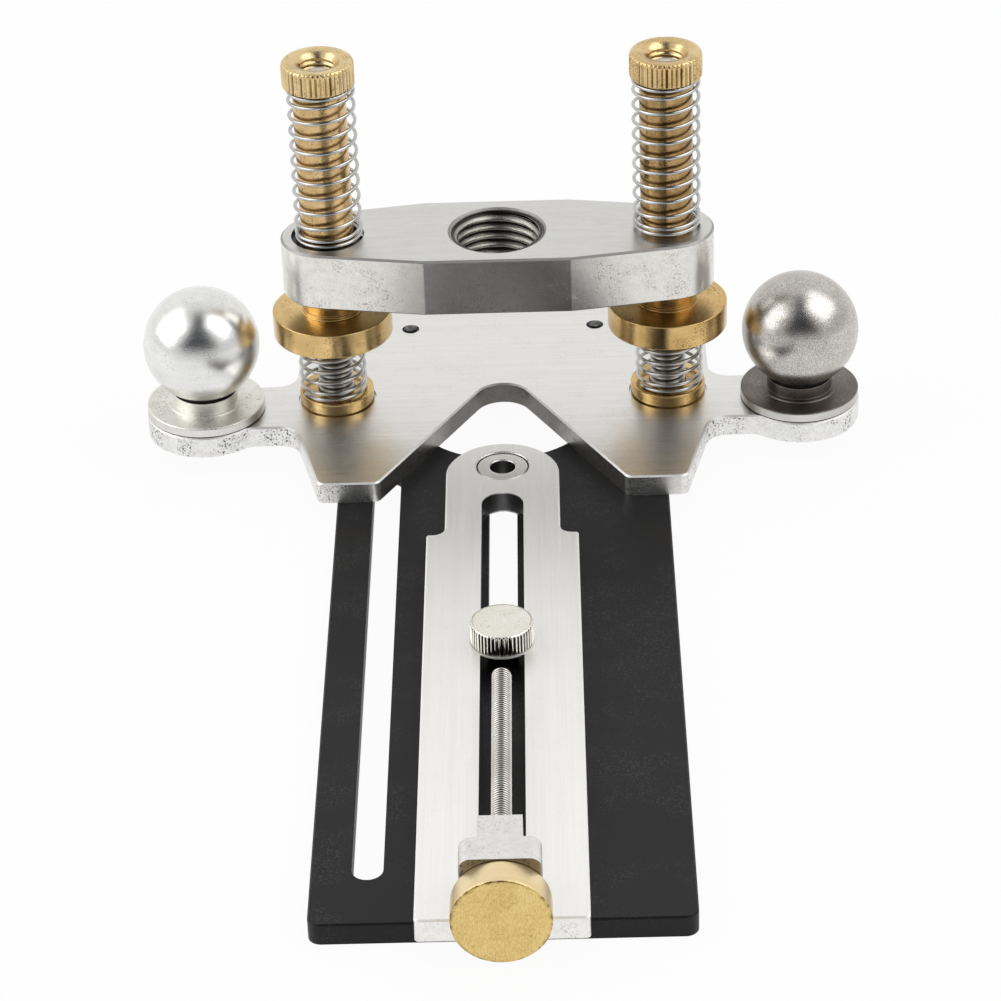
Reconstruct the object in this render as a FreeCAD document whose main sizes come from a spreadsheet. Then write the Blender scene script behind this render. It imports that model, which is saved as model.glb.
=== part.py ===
import FreeCAD, Part
import math
import os
import Sketcher

from FreeCAD import Placement, Rotation, Vector

# A sound hole cutting jig: a plunge base for a small rotary tool, standing on a long guide plate
# whose slide bar carries the pivot.  Millimetres, +Z up, the guide plate's sole at Z = 0.
# Every piece is drawn about the bit axis and then moved back along Y by levels.bit_y,
# so that the origin lies under the middle of the whole jig.

doc = FreeCAD.newDocument("sound_hole_cutting_jig")
sizes = doc.addObject("Spreadsheet::Sheet", "sizes")
levels = doc.addObject("Spreadsheet::Sheet", "levels")
slate = doc.addObject("Spreadsheet::Sheet", "slate")

DRIVING_SIZES = [
    ("guide_width", 71.2, "black guide plate, across"),
    ("guide_thick", 4.5, "guide plate thickness"),
    ("guide_front", 181.0, "bit axis to the guide plate's front edge"),
    ("guide_rear", 40.0, "bit axis to the guide plate's rear edge"),
    ("guide_corner", 2.5, "corner radius of the guide plate"),
    ("opening_radius", 20.0, "round bit opening in the guide plate"),
    ("side_slot_width", 5.9, "long side slot, across"),
    ("side_slot_offset", 25.0, "side slot centre line, left of the bit axis"),
    ("side_slot_front", 168.0, "front end of the side slot"),
    ("side_slot_rear", 22.0, "rear end of the side slot, under the base plate"),
    ("pin_slot_width", 6.0, "slot for the pivot pin, across"),
    ("pin_slot_front", 92.0, "front end of the pin slot"),
    ("base_thick", 4.76, "aluminium base plate thickness"),
    ("base_rear", 42.0, "bit axis to the base plate's rear edge"),
    ("base_half", 46.0, "half the width of the base plate behind the posts"),
    ("base_corner", 6.0, "rear corner radius of the base plate"),
    ("web_front", 12.2, "bit axis to the front edge of the webs that carry the ears"),
    ("web_rear", 5.8, "bit axis to the rear edge of the webs"),
    ("ear_offset", 65.6, "bit axis to the middle of a ball knob, sideways"),
    ("ear_forward", 3.2, "how far the ears lie in front of the posts"),
    ("ear_radius", 13.1, "round ear of the base plate"),
    ("leg_front", 36.5, "bit axis to the tips of the two legs"),
    ("leg_inner", 26.7, "inner corner of a leg tip, sideways"),
    ("leg_outer", 39.6, "outer corner of a leg tip, sideways"),
    ("leg_root", 45.4, "where a leg's outer edge meets the web"),
    ("leg_corner", 2.0, "corner radius of the leg tips"),
    ("hollow_radius", 5.0, "inside corners of the base plate"),
    ("notch_radius", 6.3, "round top of the V notch"),
    ("notch_forward", 1.8, "notch centre in front of the bit axis"),
    ("edge_break", 0.35, "broken edges of the aluminium plates"),
    ("post_offset", 36.7, "bit axis to a post"),
    ("stud_radius", 3.95, "threaded steel stud"),
    ("stud_sink", 3.1, "end of a stud below the cap's top"),
    ("stud_dimple", 0.8, "centre dimple in the end of a stud"),
    ("thread_gap", 0.09, "radial clearance in threads, bores and turning seats"),
    ("collar_radius", 8.2, "brass seat collar"),
    ("collar_height", 2.85, "collar above the base plate"),
    ("collar_sink", 0.5, "depth of the recess that takes the collar"),
    ("recess_radius", 8.65, "recess round the collar"),
    ("lower_spring_length", 14.4, "collar to stop disc"),
    ("lower_spring_wire", 0.85, "lower spring wire"),
    ("lower_spring_radius", 7.45, "lower spring, outside radius"),
    ("lower_spring_turns", 6, "turns of the lower spring"),
    ("disc_radius", 13.05, "brass stop disc"),
    ("disc_thick", 5.7, "stop disc thickness"),
    ("disc_chamfer", 0.35, "edge of the stop disc"),
    ("boss_radius", 6.05, "boss of the stop disc, which carries the head"),
    ("boss_height", 5.05, "boss above the stop disc"),
    ("tube_radius", 5.7, "brass post tube"),
    ("upper_spring_length", 36.0, "head to cap"),
    ("upper_spring_wire", 0.8, "upper spring wire"),
    ("upper_spring_radius", 7.35, "upper spring, outside radius"),
    ("upper_spring_turns", 12, "turns of the upper spring"),
    ("upper_spring_foot", 2, "closed turns at the foot of the upper spring"),
    ("lower_spring_foot", 1, "closed turns at the foot of the lower spring"),
    ("closed_turn_gap", 0.46, "clear distance between the closed turns at a spring's ends"),
    ("spring_seat_gap", 0.05, "spring end to its seat"),
    ("cap_radius", 7.75, "knurled brass cap"),
    ("cap_thick", 5.35, "cap thickness"),
    ("cap_mouth", 5.1, "chamfered mouth of the cap's bore"),
    ("cap_grooves", 44, "grooves round a cap"),
    ("knurl_depth", 0.35, "depth of the straight knurls"),
    ("knurl_edge", 0.4, "chamfer at the ends of the knurls"),
    ("head_thick", 13.0, "tool head thickness"),
    ("head_half_depth", 13.9, "tool head, bit axis to the middle face"),
    ("head_facet_half", 15.9, "half the length of the middle face"),
    ("head_end_radius", 10.2, "round ends of the tool head"),
    ("head_chamfer", 0.45, "top edge of the tool head"),
    ("tool_thread_radius", 9.5, "roots of the tool nose thread"),
    ("tool_mouth_radius", 10.7, "chamfered mouth of the tool nose thread"),
    ("spring_pocket_radius", 7.9, "pocket for the left upper spring"),
    ("spring_pocket_depth", 0.9, "depth of that pocket"),
    ("flange_radius", 12.95, "flange under a ball knob"),
    ("flange_thick", 2.25, "flange thickness"),
    ("neck_radius", 7.25, "neck of a ball knob"),
    ("ball_radius", 12.7, "ball of a ball knob"),
    ("ball_height", 16.5, "ball centre above the base plate"),
    ("knob_screw_radius", 2.5, "screw that holds a ball knob"),
    ("knob_screw_head", 4.35, "countersunk head of that screw"),
    ("knob_screw_reach", 10.0, "how far that screw goes into the knob"),
    ("plate_screw_radius", 1.95, "black screws between the two plates"),
    ("plate_screw_head", 4.0, "countersunk heads of those screws"),
    ("plate_screw_offset", 21.1, "those screws, sideways"),
    ("plate_screw_back", 30.4, "those screws, behind the bit axis"),
    ("plate_screw_proud", 0.45, "screw ends above the base plate"),
    ("bar_thick", 4.76, "slide bar thickness"),
    ("bar_half", 15.9, "half the width of the slide bar"),
    ("bar_neck_half", 12.1, "half the width of its narrow rear end"),
    ("bar_tip", 21.3, "bit axis to the tip of the bar"),
    ("bar_shoulder", 57.6, "bit axis to the shoulders of the bar"),
    ("bar_front", 186.4, "bit axis to the bar's front end"),
    ("bar_corner", 0.9, "front corner radius of the bar"),
    ("shoulder_hollow", 2.6, "inside corner at the shoulders"),
    ("bar_slot_width", 8.85, "slot in the bar, across"),
    ("bar_slot_rear", 41.75, "rear end of the bar's slot"),
    ("pivot_distance", 30.6, "bit axis to the pivot"),
    ("bush_radius", 5.7, "steel pivot bush"),
    ("bush_seat_radius", 5.95, "recess in the bar round the bush"),
    ("bush_sink", 0.3, "bush below the bar's top"),
    ("bush_bore", 2.73, "pivot bore, radius"),
    ("bush_chamfer", 0.3, "chamfered mouth of the pivot bore"),
    ("lock_distance", 98.0, "bit axis to the lock screw"),
    ("lock_head_radius", 6.35, "knurled head of the lock screw"),
    ("lock_head_thick", 4.6, "lock screw head thickness"),
    ("lock_shank_radius", 3.2, "lock screw shank in the bar's slot"),
    ("lock_thread_radius", 2.95, "lock screw thread in the guide plate"),
    ("lock_shoulder_lift", 0.3, "end of the shank above the guide plate"),
    ("lock_end_gap", 0.35, "end of the lock screw above the sole"),
    ("lock_grooves", 48, "grooves round the lock screw's head"),
    ("washer_radius", 6.5, "washer under the lock screw"),
    ("washer_thick", 0.4, "washer thickness"),
    ("block_width", 15.0, "adjuster block, across"),
    ("block_depth", 6.5, "wide part of the block, front to rear"),
    ("block_corner", 0.5, "upright corners of the block"),
    ("block_shoulder", 2.3, "rounded long top edges of the block"),
    ("block_height", 13.5, "block above the bar"),
    ("tongue_width", 8.2, "tongue of the block in the bar's slot"),
    ("tongue_depth", 6.4, "tongue, front to rear"),
    ("block_screw_offset", 5.0, "screws under the block, sideways"),
    ("block_screw_radius", 1.45, "screws under the block"),
    ("block_screw_head", 3.35, "countersunk heads of those screws"),
    ("block_screw_reach", 6.0, "how far those screws go into the block"),
    ("rod_radius", 1.95, "adjuster rod"),
    ("rod_height", 4.05, "rod axis above the bar"),
    ("rod_tip", 115.0, "bit axis to the rear tip of the rod"),
    ("rod_nose", 0.7, "chamfered tip of the rod"),
    ("rod_grip", 4.5, "rod inside the adjuster knob"),
    ("knob_radius", 9.2, "adjuster knob"),
    ("knob_thick", 6.0, "adjuster knob thickness"),
    ("knob_gap", 0.1, "adjuster knob to the block"),
    ("knob_rounding", 0.4, "edges of the adjuster knob"),
]

DERIVED_LEVELS = [
    ("base_top", "sizes.guide_thick + sizes.base_thick"),
    ("bar_top", "sizes.guide_thick + sizes.bar_thick"),
    ("seat_top", "base_top + sizes.collar_height"),
    ("disc_bottom", "seat_top + sizes.lower_spring_length"),
    ("disc_top", "disc_bottom + sizes.disc_thick"),
    ("head_bottom", "disc_top + sizes.boss_height"),
    ("head_top", "head_bottom + sizes.head_thick"),
    ("cap_bottom", "head_top + sizes.upper_spring_length"),
    ("cap_top", "cap_bottom + sizes.cap_thick"),
    ("stud_top", "cap_top - sizes.stud_sink"),
    ("ball_level", "base_top + sizes.ball_height"),
    ("washer_top", "bar_top + sizes.washer_thick"),
    ("lock_top", "washer_top + sizes.lock_head_thick"),
    ("block_top", "bar_top + sizes.block_height"),
    ("rod_level", "bar_top + sizes.rod_height"),
    ("block_rear", "sizes.bar_front - sizes.block_depth"),
    ("knob_back", "sizes.bar_front + sizes.knob_gap"),
    ("knob_front", "knob_back + sizes.knob_thick"),
    ("rod_front", "knob_back + sizes.rod_grip"),
    ("bit_y", "(knob_front - sizes.base_rear) / 2"),
]

for row, (alias, number, meaning) in enumerate(DRIVING_SIZES, start=1):
    sizes.set("A%d" % row, meaning)
    sizes.set("B%d" % row, str(number))
    sizes.setAlias("B%d" % row, alias)
doc.recompute()
for row, (alias, formula) in enumerate(DERIVED_LEVELS, start=1):
    levels.set("B%d" % row, "=" + formula)
    levels.setAlias("B%d" % row, alias)
    doc.recompute()


def worth(formula):
    """The number that a formula of the two sheets gives, worked out on the slate."""
    slate.set("A1", "=" + formula)
    slate.recompute()
    return float(slate.get("A1"))


def bind(piece, **formulas):
    """Tie properties of a piece to formulas of the sheets."""
    for prop, formula in formulas.items():
        piece.setExpression(prop, formula)
    return piece


def bind_place(piece, x="0", y="0", z="0"):
    """Tie where a piece stands to three formulas."""
    for axis, formula in (("x", x), ("y", y), ("z", z)):
        piece.setExpression("Placement.Base." + axis, formula)
    return piece


def cylinder(name, radius, height, x="0", y="0", z="0"):
    """Upright cylinder whose lower end stands at x, y, z."""
    piece = bind(doc.addObject("Part::Cylinder", name), Radius=radius, Height=height)
    return bind_place(piece, x, y, z)


def cone(name, lower_radius, upper_radius, height, x="0", y="0", z="0"):
    """Upright cone whose lower end stands at x, y, z."""
    piece = doc.addObject("Part::Cone", name)
    bind(piece, Radius1=lower_radius, Radius2=upper_radius, Height=height)
    return bind_place(piece, x, y, z)


def fuse(name, pieces):
    """One solid from several."""
    joined = doc.addObject("Part::MultiFuse", name)
    joined.Shapes = pieces
    return joined


def cut(name, base, tools):
    """The base without the tools."""
    remainder = doc.addObject("Part::Cut", name)
    remainder.Base = base
    remainder.Tool = tools[0] if len(tools) == 1 else fuse(name + "_tools", tools)
    return remainder


def turned(name, profile):
    """Body turned about Z: its half section is a ring of (radius, height) formulas."""
    body = doc.addObject("PartDesign::Body", name + "_body")
    sketch = body.newObject("Sketcher::SketchObject", name + "_section")
    plane = [f for f in body.Origin.OriginFeatures if f.Role == "XZ_Plane"][0]
    sketch.AttachmentSupport = [(plane, "")]
    sketch.MapMode = "FlatFace"
    corners = [Vector(worth(radius), worth(height), 0) for radius, height in profile]
    count = len(corners)
    for index in range(count):
        sketch.addGeometry(Part.LineSegment(corners[index], corners[(index + 1) % count]), False)
    for index in range(count):
        sketch.addConstraint(Sketcher.Constraint("Coincident", index, 2, (index + 1) % count, 1))
    for index, (radius, height) in enumerate(profile):
        corner = corners[index]
        for kind, formula, number in (("DistanceX", radius, corner.x), ("DistanceY", height, corner.y)):
            place = sketch.addConstraint(Sketcher.Constraint(kind, -1, 1, index, 1, number))
            sketch.setExpression("Constraints[%d]" % place, formula)
    turn = body.newObject("PartDesign::Revolution", name + "_turn")
    turn.Profile = sketch
    turn.ReferenceAxis = (sketch, ["V_Axis"])
    turn.Angle = 360
    return body


def solid(name, shape):
    """A document object for a shape that is worked out here from the sheets."""
    piece = doc.addObject("Part::Feature", name)
    piece.Shape = shape
    return piece


NODES = {}


def finish(name, piece, x="0", z="0"):
    """Name a sub-part and stand it where it belongs in the jig's own frame."""
    piece.Label = name
    bind_place(piece, x, "levels.bit_y + (%s)" % PLACES_ALONG.get(name, "0"), z)
    NODES[name] = piece
    return piece


PLACES_ALONG = {
    "pivot_bush": "-sizes.pivot_distance",
    "lock_screw": "-sizes.lock_distance",
    "lock_washer": "-sizes.lock_distance",
    "left_ball_knob": "-sizes.ear_forward",
    "right_ball_knob": "-sizes.ear_forward",
}


def upright_edges(shape, spots):
    """The upright edges of a plate that stand at the given spots."""
    near = 0.02
    found = []
    for edge in shape.Edges:
        first, last = edge.Vertexes[0].Point, edge.Vertexes[-1].Point
        if abs(first.z - last.z) < near or edge.Curve.TypeId != "Part::GeomLine":
            continue
        for x, y in spots:
            if math.hypot(first.x - x, first.y - y) < near and math.hypot(last.x - x, last.y - y) < near:
                found.append(edge)
    return found


def rounded(shape, radius, spots):
    """The plate with its upright edges at the spots rounded."""
    return shape.makeFillet(radius, upright_edges(shape, spots))


def rim_broken(shape, level, width):
    """The plate with the outer rim of its flat face at that level chamfered."""
    flat = max((f for f in shape.Faces if f.BoundBox.ZLength < 1e-6 and abs(f.BoundBox.ZMin - level) < 1e-6),
               key=lambda f: f.Area)
    return shape.makeChamfer(width, flat.OuterWire.Edges)


def tangent_point(corner, centre, radius, side):
    """Where a line from the corner touches the circle, on its left (1) or right (-1)."""
    away = corner - centre
    lean = math.atan2(away.y, away.x) + side * math.acos(radius / away.Length)
    return centre + Vector(radius * math.cos(lean), radius * math.sin(lean), 0)


def mirrored_x(point):
    """The same point on the other side of the bit plane."""
    return Vector(-point.x, point.y, point.z)


def countersunk_screw(x, y, bottom, head_radius, radius, top):
    """Countersunk screw that points up, its head's flat face at the bottom."""
    sink = head_radius - radius
    head = Part.makeCone(head_radius, radius, sink, Vector(x, y, bottom))
    shank = Part.makeCylinder(radius, top - bottom, Vector(x, y, bottom))
    corners = []
    reach = radius * KEY_SHARE
    for step in range(7):
        turn = math.pi / 3 * step
        corners.append(Vector(x + reach * math.cos(turn), y + reach * math.sin(turn), bottom))
    key = Part.Face(Part.makePolygon(corners)).extrude(Vector(0, 0, sink * KEY_DEPTH_SHARE))
    return head.fuse(shank).removeSplitter().cut(key)


def countersunk_hole(x, y, bottom, head_radius, radius, top):
    """What a countersunk screw of the same sizes needs cut away."""
    head = Part.makeCone(head_radius, radius, head_radius - radius, Vector(x, y, bottom))
    return head.fuse(Part.makeCylinder(radius, top - bottom, Vector(x, y, bottom)))


def slot_cutter(x, front, rear, width, bottom, top):
    """Upright slot with round ends between two places along Y."""
    half = width / 2
    body = Part.makeBox(width, rear - front - width, top - bottom, Vector(x - half, front + half, bottom))
    for end in (front + half, rear - half):
        body = body.fuse(Part.makeCylinder(half, top - bottom, Vector(x, end, bottom)))
    return body.removeSplitter()


def knurled_plug(radius, count, bottom, top):
    """Round plug with straight knurls, its two rims chamfered."""
    groove, edge, count = worth("sizes.knurl_depth"), worth("sizes.knurl_edge"), int(count)
    corners = []
    for step in range(2 * count + 1):
        reach = radius if step % 2 == 0 else radius - groove
        turn = math.pi * step / count
        corners.append(Vector(reach * math.cos(turn), reach * math.sin(turn), bottom))
    star = Part.Face(Part.makePolygon(corners)).extrude(Vector(0, 0, top - bottom))
    blank = Part.makeCylinder(radius, top - bottom, Vector(0, 0, bottom))
    blank = blank.makeChamfer(edge, [e for e in blank.Edges if e.Curve.TypeId == "Part::GeomCircle"])
    return star.common(blank)


THROUGH = 1.0
HOLLOW_SHARE = 0.48
KEY_SHARE = 0.62
KEY_DEPTH_SHARE = 0.9
CLOSED_TOP_TURNS = 1
UPPER_SPRING_START = 0.0
LOWER_SPRING_START = math.radians(216)
QUARTERS = 4
POINTS_PER_TURN = 60


# The guide plate is one black plate with a round bit opening, a slot that runs forward from it
# for the pivot pin, a long side slot, a tapped hole for the lock screw and two countersunk holes.
def guide_plate_shape():
    width, thick = worth("sizes.guide_width"), worth("sizes.guide_thick")
    front, rear = -worth("sizes.guide_front"), worth("sizes.guide_rear")
    plate = Part.makeBox(width, rear - front, thick, Vector(-width / 2, front, 0))
    corners = [(x, y) for x in (-width / 2, width / 2) for y in (front, rear)]
    plate = rounded(plate, worth("sizes.guide_corner"), corners)
    plate = rim_broken(plate, thick, worth("sizes.edge_break"))
    above = thick + THROUGH
    pin_width = worth("sizes.pin_slot_width")
    opening = Part.makeCylinder(worth("sizes.opening_radius"), thick + 2 * THROUGH, Vector(0, 0, -THROUGH))
    pin_slot = slot_cutter(0, -worth("sizes.pin_slot_front"), 0, pin_width, -THROUGH, above)
    side_slot = slot_cutter(-worth("sizes.side_slot_offset"), -worth("sizes.side_slot_front"),
                            -worth("sizes.side_slot_rear"), worth("sizes.side_slot_width"), -THROUGH, above)
    tapped = Part.makeCylinder(worth("sizes.lock_thread_radius + sizes.thread_gap"), thick + 2 * THROUGH,
                               Vector(0, -worth("sizes.lock_distance"), -THROUGH))
    plate = plate.cut(opening.fuse(pin_slot)).cut(side_slot).cut(tapped)
    radius, head = worth("sizes.plate_screw_radius"), worth("sizes.plate_screw_head")
    for x in (-worth("sizes.plate_screw_offset"), worth("sizes.plate_screw_offset")):
        plate = plate.cut(countersunk_hole(x, worth("sizes.plate_screw_back"), 0, head, radius, above))
    return plate


# The base plate is aluminium: a V notch round the bit between two legs, two webs with round ears
# for the ball knobs, and recesses round the two posts.
def base_plate_shape():
    bottom, top = worth("sizes.guide_thick"), worth("levels.base_top")
    thick = top - bottom
    ear = Vector(worth("sizes.ear_offset"), -worth("sizes.ear_forward"), bottom)
    ear_radius = worth("sizes.ear_radius")
    notch_radius = worth("sizes.notch_radius")
    notch = Vector(0, -worth("sizes.notch_forward"), bottom)
    web_front, web_rear = -worth("sizes.web_front"), worth("sizes.web_rear")
    half, rear = worth("sizes.base_half"), worth("sizes.base_rear")
    leg_front = -worth("sizes.leg_front")
    inner = Vector(worth("sizes.leg_inner"), leg_front, bottom)
    outer = Vector(worth("sizes.leg_outer"), leg_front, bottom)
    root = Vector(worth("sizes.leg_root"), web_front, bottom)
    side = [tangent_point(inner, notch, notch_radius, 1), inner, outer, root,
            Vector(ear.x, web_front, bottom), Vector(ear.x, web_rear, bottom),
            Vector(half, web_rear, bottom), Vector(half, rear, bottom)]
    ring = side + [mirrored_x(point) for point in reversed(side)]
    edges = [Part.makeLine(first, last) for first, last in zip(ring, ring[1:])]
    crown = notch + Vector(0, notch_radius, 0)
    edges.append(Part.Arc(ring[-1], crown, ring[0]).toShape())
    plate = Part.Face(Part.Wire(edges)).extrude(Vector(0, 0, thick))
    for x in (-ear.x, ear.x):
        plate = plate.fuse(Part.makeCylinder(ear_radius, thick, Vector(x, ear.y, bottom)))
    plate = plate.removeSplitter()

    def both(x, y):
        return [(-x, y), (x, y)]

    plate = rounded(plate, worth("sizes.leg_corner"), both(inner.x, inner.y) + both(outer.x, outer.y))
    plate = rounded(plate, worth("sizes.base_corner"), both(half, rear))
    for x, y in ((root.x, web_front), (half, web_rear)):
        meet = ear.x - math.sqrt(ear_radius ** 2 - (y - ear.y) ** 2)
        hollow = min(worth("sizes.hollow_radius"), HOLLOW_SHARE * (meet - x))
        plate = rounded(plate, hollow, both(x, y) + both(meet, y))
    plate = rim_broken(plate, top, worth("sizes.edge_break"))
    for x in (-worth("sizes.post_offset"), worth("sizes.post_offset")):
        plate = plate.cut(Part.makeCylinder(worth("sizes.stud_radius"), thick, Vector(x, 0, bottom)))
        sink = worth("sizes.collar_sink")
        plate = plate.cut(Part.makeCylinder(worth("sizes.recess_radius"), sink, Vector(x, 0, top - sink)))
    for x in (-ear.x, ear.x):
        plate = plate.cut(countersunk_hole(x, ear.y, bottom, worth("sizes.knob_screw_head"),
                                           worth("sizes.knob_screw_radius"), top))
    for x in (-worth("sizes.plate_screw_offset"), worth("sizes.plate_screw_offset")):
        plate = plate.cut(Part.makeCylinder(worth("sizes.plate_screw_radius"), thick,
                                            Vector(x, worth("sizes.plate_screw_back"), bottom)))
    return plate


# The tool head is an aluminium bar with slanted side faces and round ends.  The rotary tool's nose
# screws into its middle, and its two bores run on the post tubes.
def head_yoke_shape():
    bottom, top = worth("levels.head_bottom"), worth("levels.head_top")
    facet, depth = worth("sizes.head_facet_half"), worth("sizes.head_half_depth")
    post, end_radius = worth("sizes.post_offset"), worth("sizes.head_end_radius")
    corner = Vector(facet, -depth, bottom)
    centre = Vector(post, 0, bottom)
    front = tangent_point(corner, centre, end_radius, 1)
    rear = Vector(front.x, -front.y, bottom)
    tip = centre + Vector(end_radius, 0, 0)
    rear_corner = Vector(facet, depth, bottom)
    edges = [Part.makeLine(mirrored_x(corner), corner), Part.makeLine(corner, front),
             Part.Arc(front, tip, rear).toShape(), Part.makeLine(rear, rear_corner),
             Part.makeLine(rear_corner, mirrored_x(rear_corner)),
             Part.makeLine(mirrored_x(rear_corner), mirrored_x(rear)),
             Part.Arc(mirrored_x(rear), mirrored_x(tip), mirrored_x(front)).toShape(),
             Part.makeLine(mirrored_x(front), mirrored_x(corner))]
    yoke = Part.Face(Part.Wire(edges)).extrude(Vector(0, 0, top - bottom))
    yoke = rim_broken(yoke, top, worth("sizes.head_chamfer"))
    yoke = rim_broken(yoke, bottom, worth("sizes.edge_break"))
    bore = worth("sizes.tube_radius + sizes.thread_gap")
    for x in (-post, post):
        yoke = yoke.cut(Part.makeCylinder(bore, top - bottom, Vector(x, 0, bottom)))
    nose, mouth = worth("sizes.tool_thread_radius"), worth("sizes.tool_mouth_radius")
    yoke = yoke.cut(Part.makeCylinder(nose, top - bottom, Vector(0, 0, bottom)))
    yoke = yoke.cut(Part.makeCone(nose, mouth, mouth - nose, Vector(0, 0, top - mouth + nose)))
    depth = worth("sizes.spring_pocket_depth")
    pocket = Part.makeCylinder(worth("sizes.spring_pocket_radius"), depth, Vector(-post, 0, top - depth))
    return yoke.cut(pocket)


# The slide bar is aluminium, with a narrow round end for the pivot, a long slot for the lock screw
# and two countersunk holes for the screws of the adjuster block.
def slide_bar_shape():
    bottom, top = worth("sizes.guide_thick"), worth("levels.bar_top")
    neck, half = worth("sizes.bar_neck_half"), worth("sizes.bar_half")
    tip, shoulder, front = (-worth("sizes.bar_tip"), -worth("sizes.bar_shoulder"), -worth("sizes.bar_front"))
    start = Vector(neck, tip - neck, bottom)
    side = [start, Vector(neck, shoulder, bottom)]
    side += [Vector(half, shoulder, bottom), Vector(half, front, bottom)]
    ring = side + [mirrored_x(point) for point in reversed(side)]
    edges = [Part.makeLine(first, last) for first, last in zip(ring, ring[1:])]
    edges.append(Part.Arc(mirrored_x(start), Vector(0, tip, bottom), start).toShape())
    bar = Part.Face(Part.Wire(edges)).extrude(Vector(0, 0, top - bottom))
    bar = rounded(bar, worth("sizes.shoulder_hollow"), [(-neck, shoulder), (neck, shoulder)])
    bar = rounded(bar, worth("sizes.bar_corner / 2"), [(-half, shoulder), (half, shoulder)])
    bar = rounded(bar, worth("sizes.bar_corner"), [(-half, front), (half, front)])
    bar = rim_broken(bar, top, worth("sizes.edge_break"))
    slot = worth("sizes.bar_slot_width")
    slot_rear, slot_front = -worth("sizes.bar_slot_rear"), -worth("levels.block_rear")
    cutter = slot_cutter(0, slot_front - slot, slot_rear, slot, bottom, top)
    free = Part.makeBox(slot, slot_rear - slot_front, top - bottom, Vector(-slot / 2, slot_front, bottom))
    cutter = cutter.common(free)
    bar = bar.cut(cutter)
    pivot = Vector(0, -worth("sizes.pivot_distance"), bottom)
    sink = worth("sizes.bush_sink")
    bar = bar.cut(Part.makeCylinder(worth("sizes.bush_radius"), top - bottom, pivot))
    seat = pivot + Vector(0, 0, top - bottom - sink)
    bar = bar.cut(Part.makeCylinder(worth("sizes.bush_seat_radius"), sink, seat))
    for x, y in block_screw_spots():
        bar = bar.cut(countersunk_hole(x, y, bottom, worth("sizes.block_screw_head"),
                                       worth("sizes.block_screw_radius"), top))
    return bar


def block_screw_spots():
    """The two screws under the adjuster block, either side of its rod."""
    y = -worth("(sizes.bar_front + levels.block_rear) / 2")
    return [(-worth("sizes.block_screw_offset"), y), (worth("sizes.block_screw_offset"), y)]


# The adjuster block stands on the bar's front end.  Its tongue is keyed into the bar's slot,
# and the adjuster rod is threaded through both.
def shouldered_bar(width, depth, base, top, front):
    """A bar that runs front to rear, its two long top edges rounded."""
    bar = Part.makeBox(width, depth, top - base, Vector(-width / 2, front, base))
    long_tops = [e for e in bar.Edges if e.BoundBox.YLength > depth - 0.01 and e.BoundBox.ZMin > top - 0.01]
    return bar.makeFillet(worth("sizes.block_shoulder"), long_tops)


def adjuster_block_shape():
    base, top = worth("levels.bar_top"), worth("levels.block_top")
    width, depth = worth("sizes.block_width"), worth("sizes.block_depth")
    front, middle = -worth("sizes.bar_front"), -worth("levels.block_rear")
    corner = worth("sizes.block_corner")
    wide = Part.makeBox(width, depth, top - base, Vector(-width / 2, front, base))
    wide = rounded(wide, corner, [(x, y) for x in (-width / 2, width / 2) for y in (front, middle)])
    tongue_bottom = worth("sizes.guide_thick + sizes.thread_gap")
    tongue_width, tongue_depth = worth("sizes.tongue_width"), worth("sizes.tongue_depth")
    lap = depth / 2
    left = -tongue_width / 2
    stem = Part.makeBox(tongue_width, tongue_depth + lap, top - base, Vector(left, middle - lap, base))
    key = Part.makeBox(tongue_width, tongue_depth, base - tongue_bottom, Vector(left, middle, tongue_bottom))
    block = wide.fuse(stem).removeSplitter()
    block = block.common(shouldered_bar(width, depth + tongue_depth, base, top, front))
    block = block.fuse(key).removeSplitter()
    rod = Part.makeCylinder(worth("sizes.rod_radius + sizes.thread_gap"), depth + tongue_depth + 2 * THROUGH,
                            Vector(0, front - THROUGH, worth("levels.rod_level")), Vector(0, 1, 0))
    block = block.cut(rod)
    for x, y in block_screw_spots():
        reach = worth("sizes.block_screw_reach")
        block = block.cut(Part.makeCylinder(worth("sizes.block_screw_radius"), reach, Vector(x, y, base)))
    return block


def lock_screw_shape():
    """Knurled screw about its own axis: head on the washer, shank in the slot, thread in the plate."""
    head_bottom, top = worth("levels.washer_top"), worth("levels.lock_top")
    shoulder, foot = worth("sizes.guide_thick + sizes.lock_shoulder_lift"), worth("sizes.lock_end_gap")
    head = knurled_plug(worth("sizes.lock_head_radius"), worth("sizes.lock_grooves"), head_bottom, top)
    shank_radius, thread_radius = worth("sizes.lock_shank_radius"), worth("sizes.lock_thread_radius")
    shank = Part.makeCylinder(shank_radius, head_bottom - shoulder, Vector(0, 0, shoulder))
    thread = Part.makeCylinder(thread_radius, shoulder - foot, Vector(0, 0, foot))
    return head.fuse(shank).fuse(thread).removeSplitter()


def knurled_cap_shape():
    """Cap of a post about its own axis: knurled outside, bored through, with a chamfered mouth."""
    bottom, top = worth("levels.cap_bottom"), worth("levels.cap_top")
    bore, mouth = worth("sizes.stud_radius + sizes.thread_gap"), worth("sizes.cap_mouth")
    cap = knurled_plug(worth("sizes.cap_radius"), worth("sizes.cap_grooves"), bottom, top)
    cap = cap.cut(Part.makeCylinder(bore, top - bottom, Vector(0, 0, bottom)))
    return cap.cut(Part.makeCone(bore, mouth, mouth - bore, Vector(0, 0, top - mouth + bore)))


def arc_between(start, heading, end):
    """Arc that leaves start along heading and reaches end."""
    chord = end - start
    lean = heading.getAngle(chord)
    apex = start + heading * (chord.Length / 2 / math.cos(lean))
    middle = start + chord * 0.5
    crown = middle + (apex - middle) * (math.tan(lean / 2) / math.tan(lean))
    return Part.Arc(start, crown, end).toShape()


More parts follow.
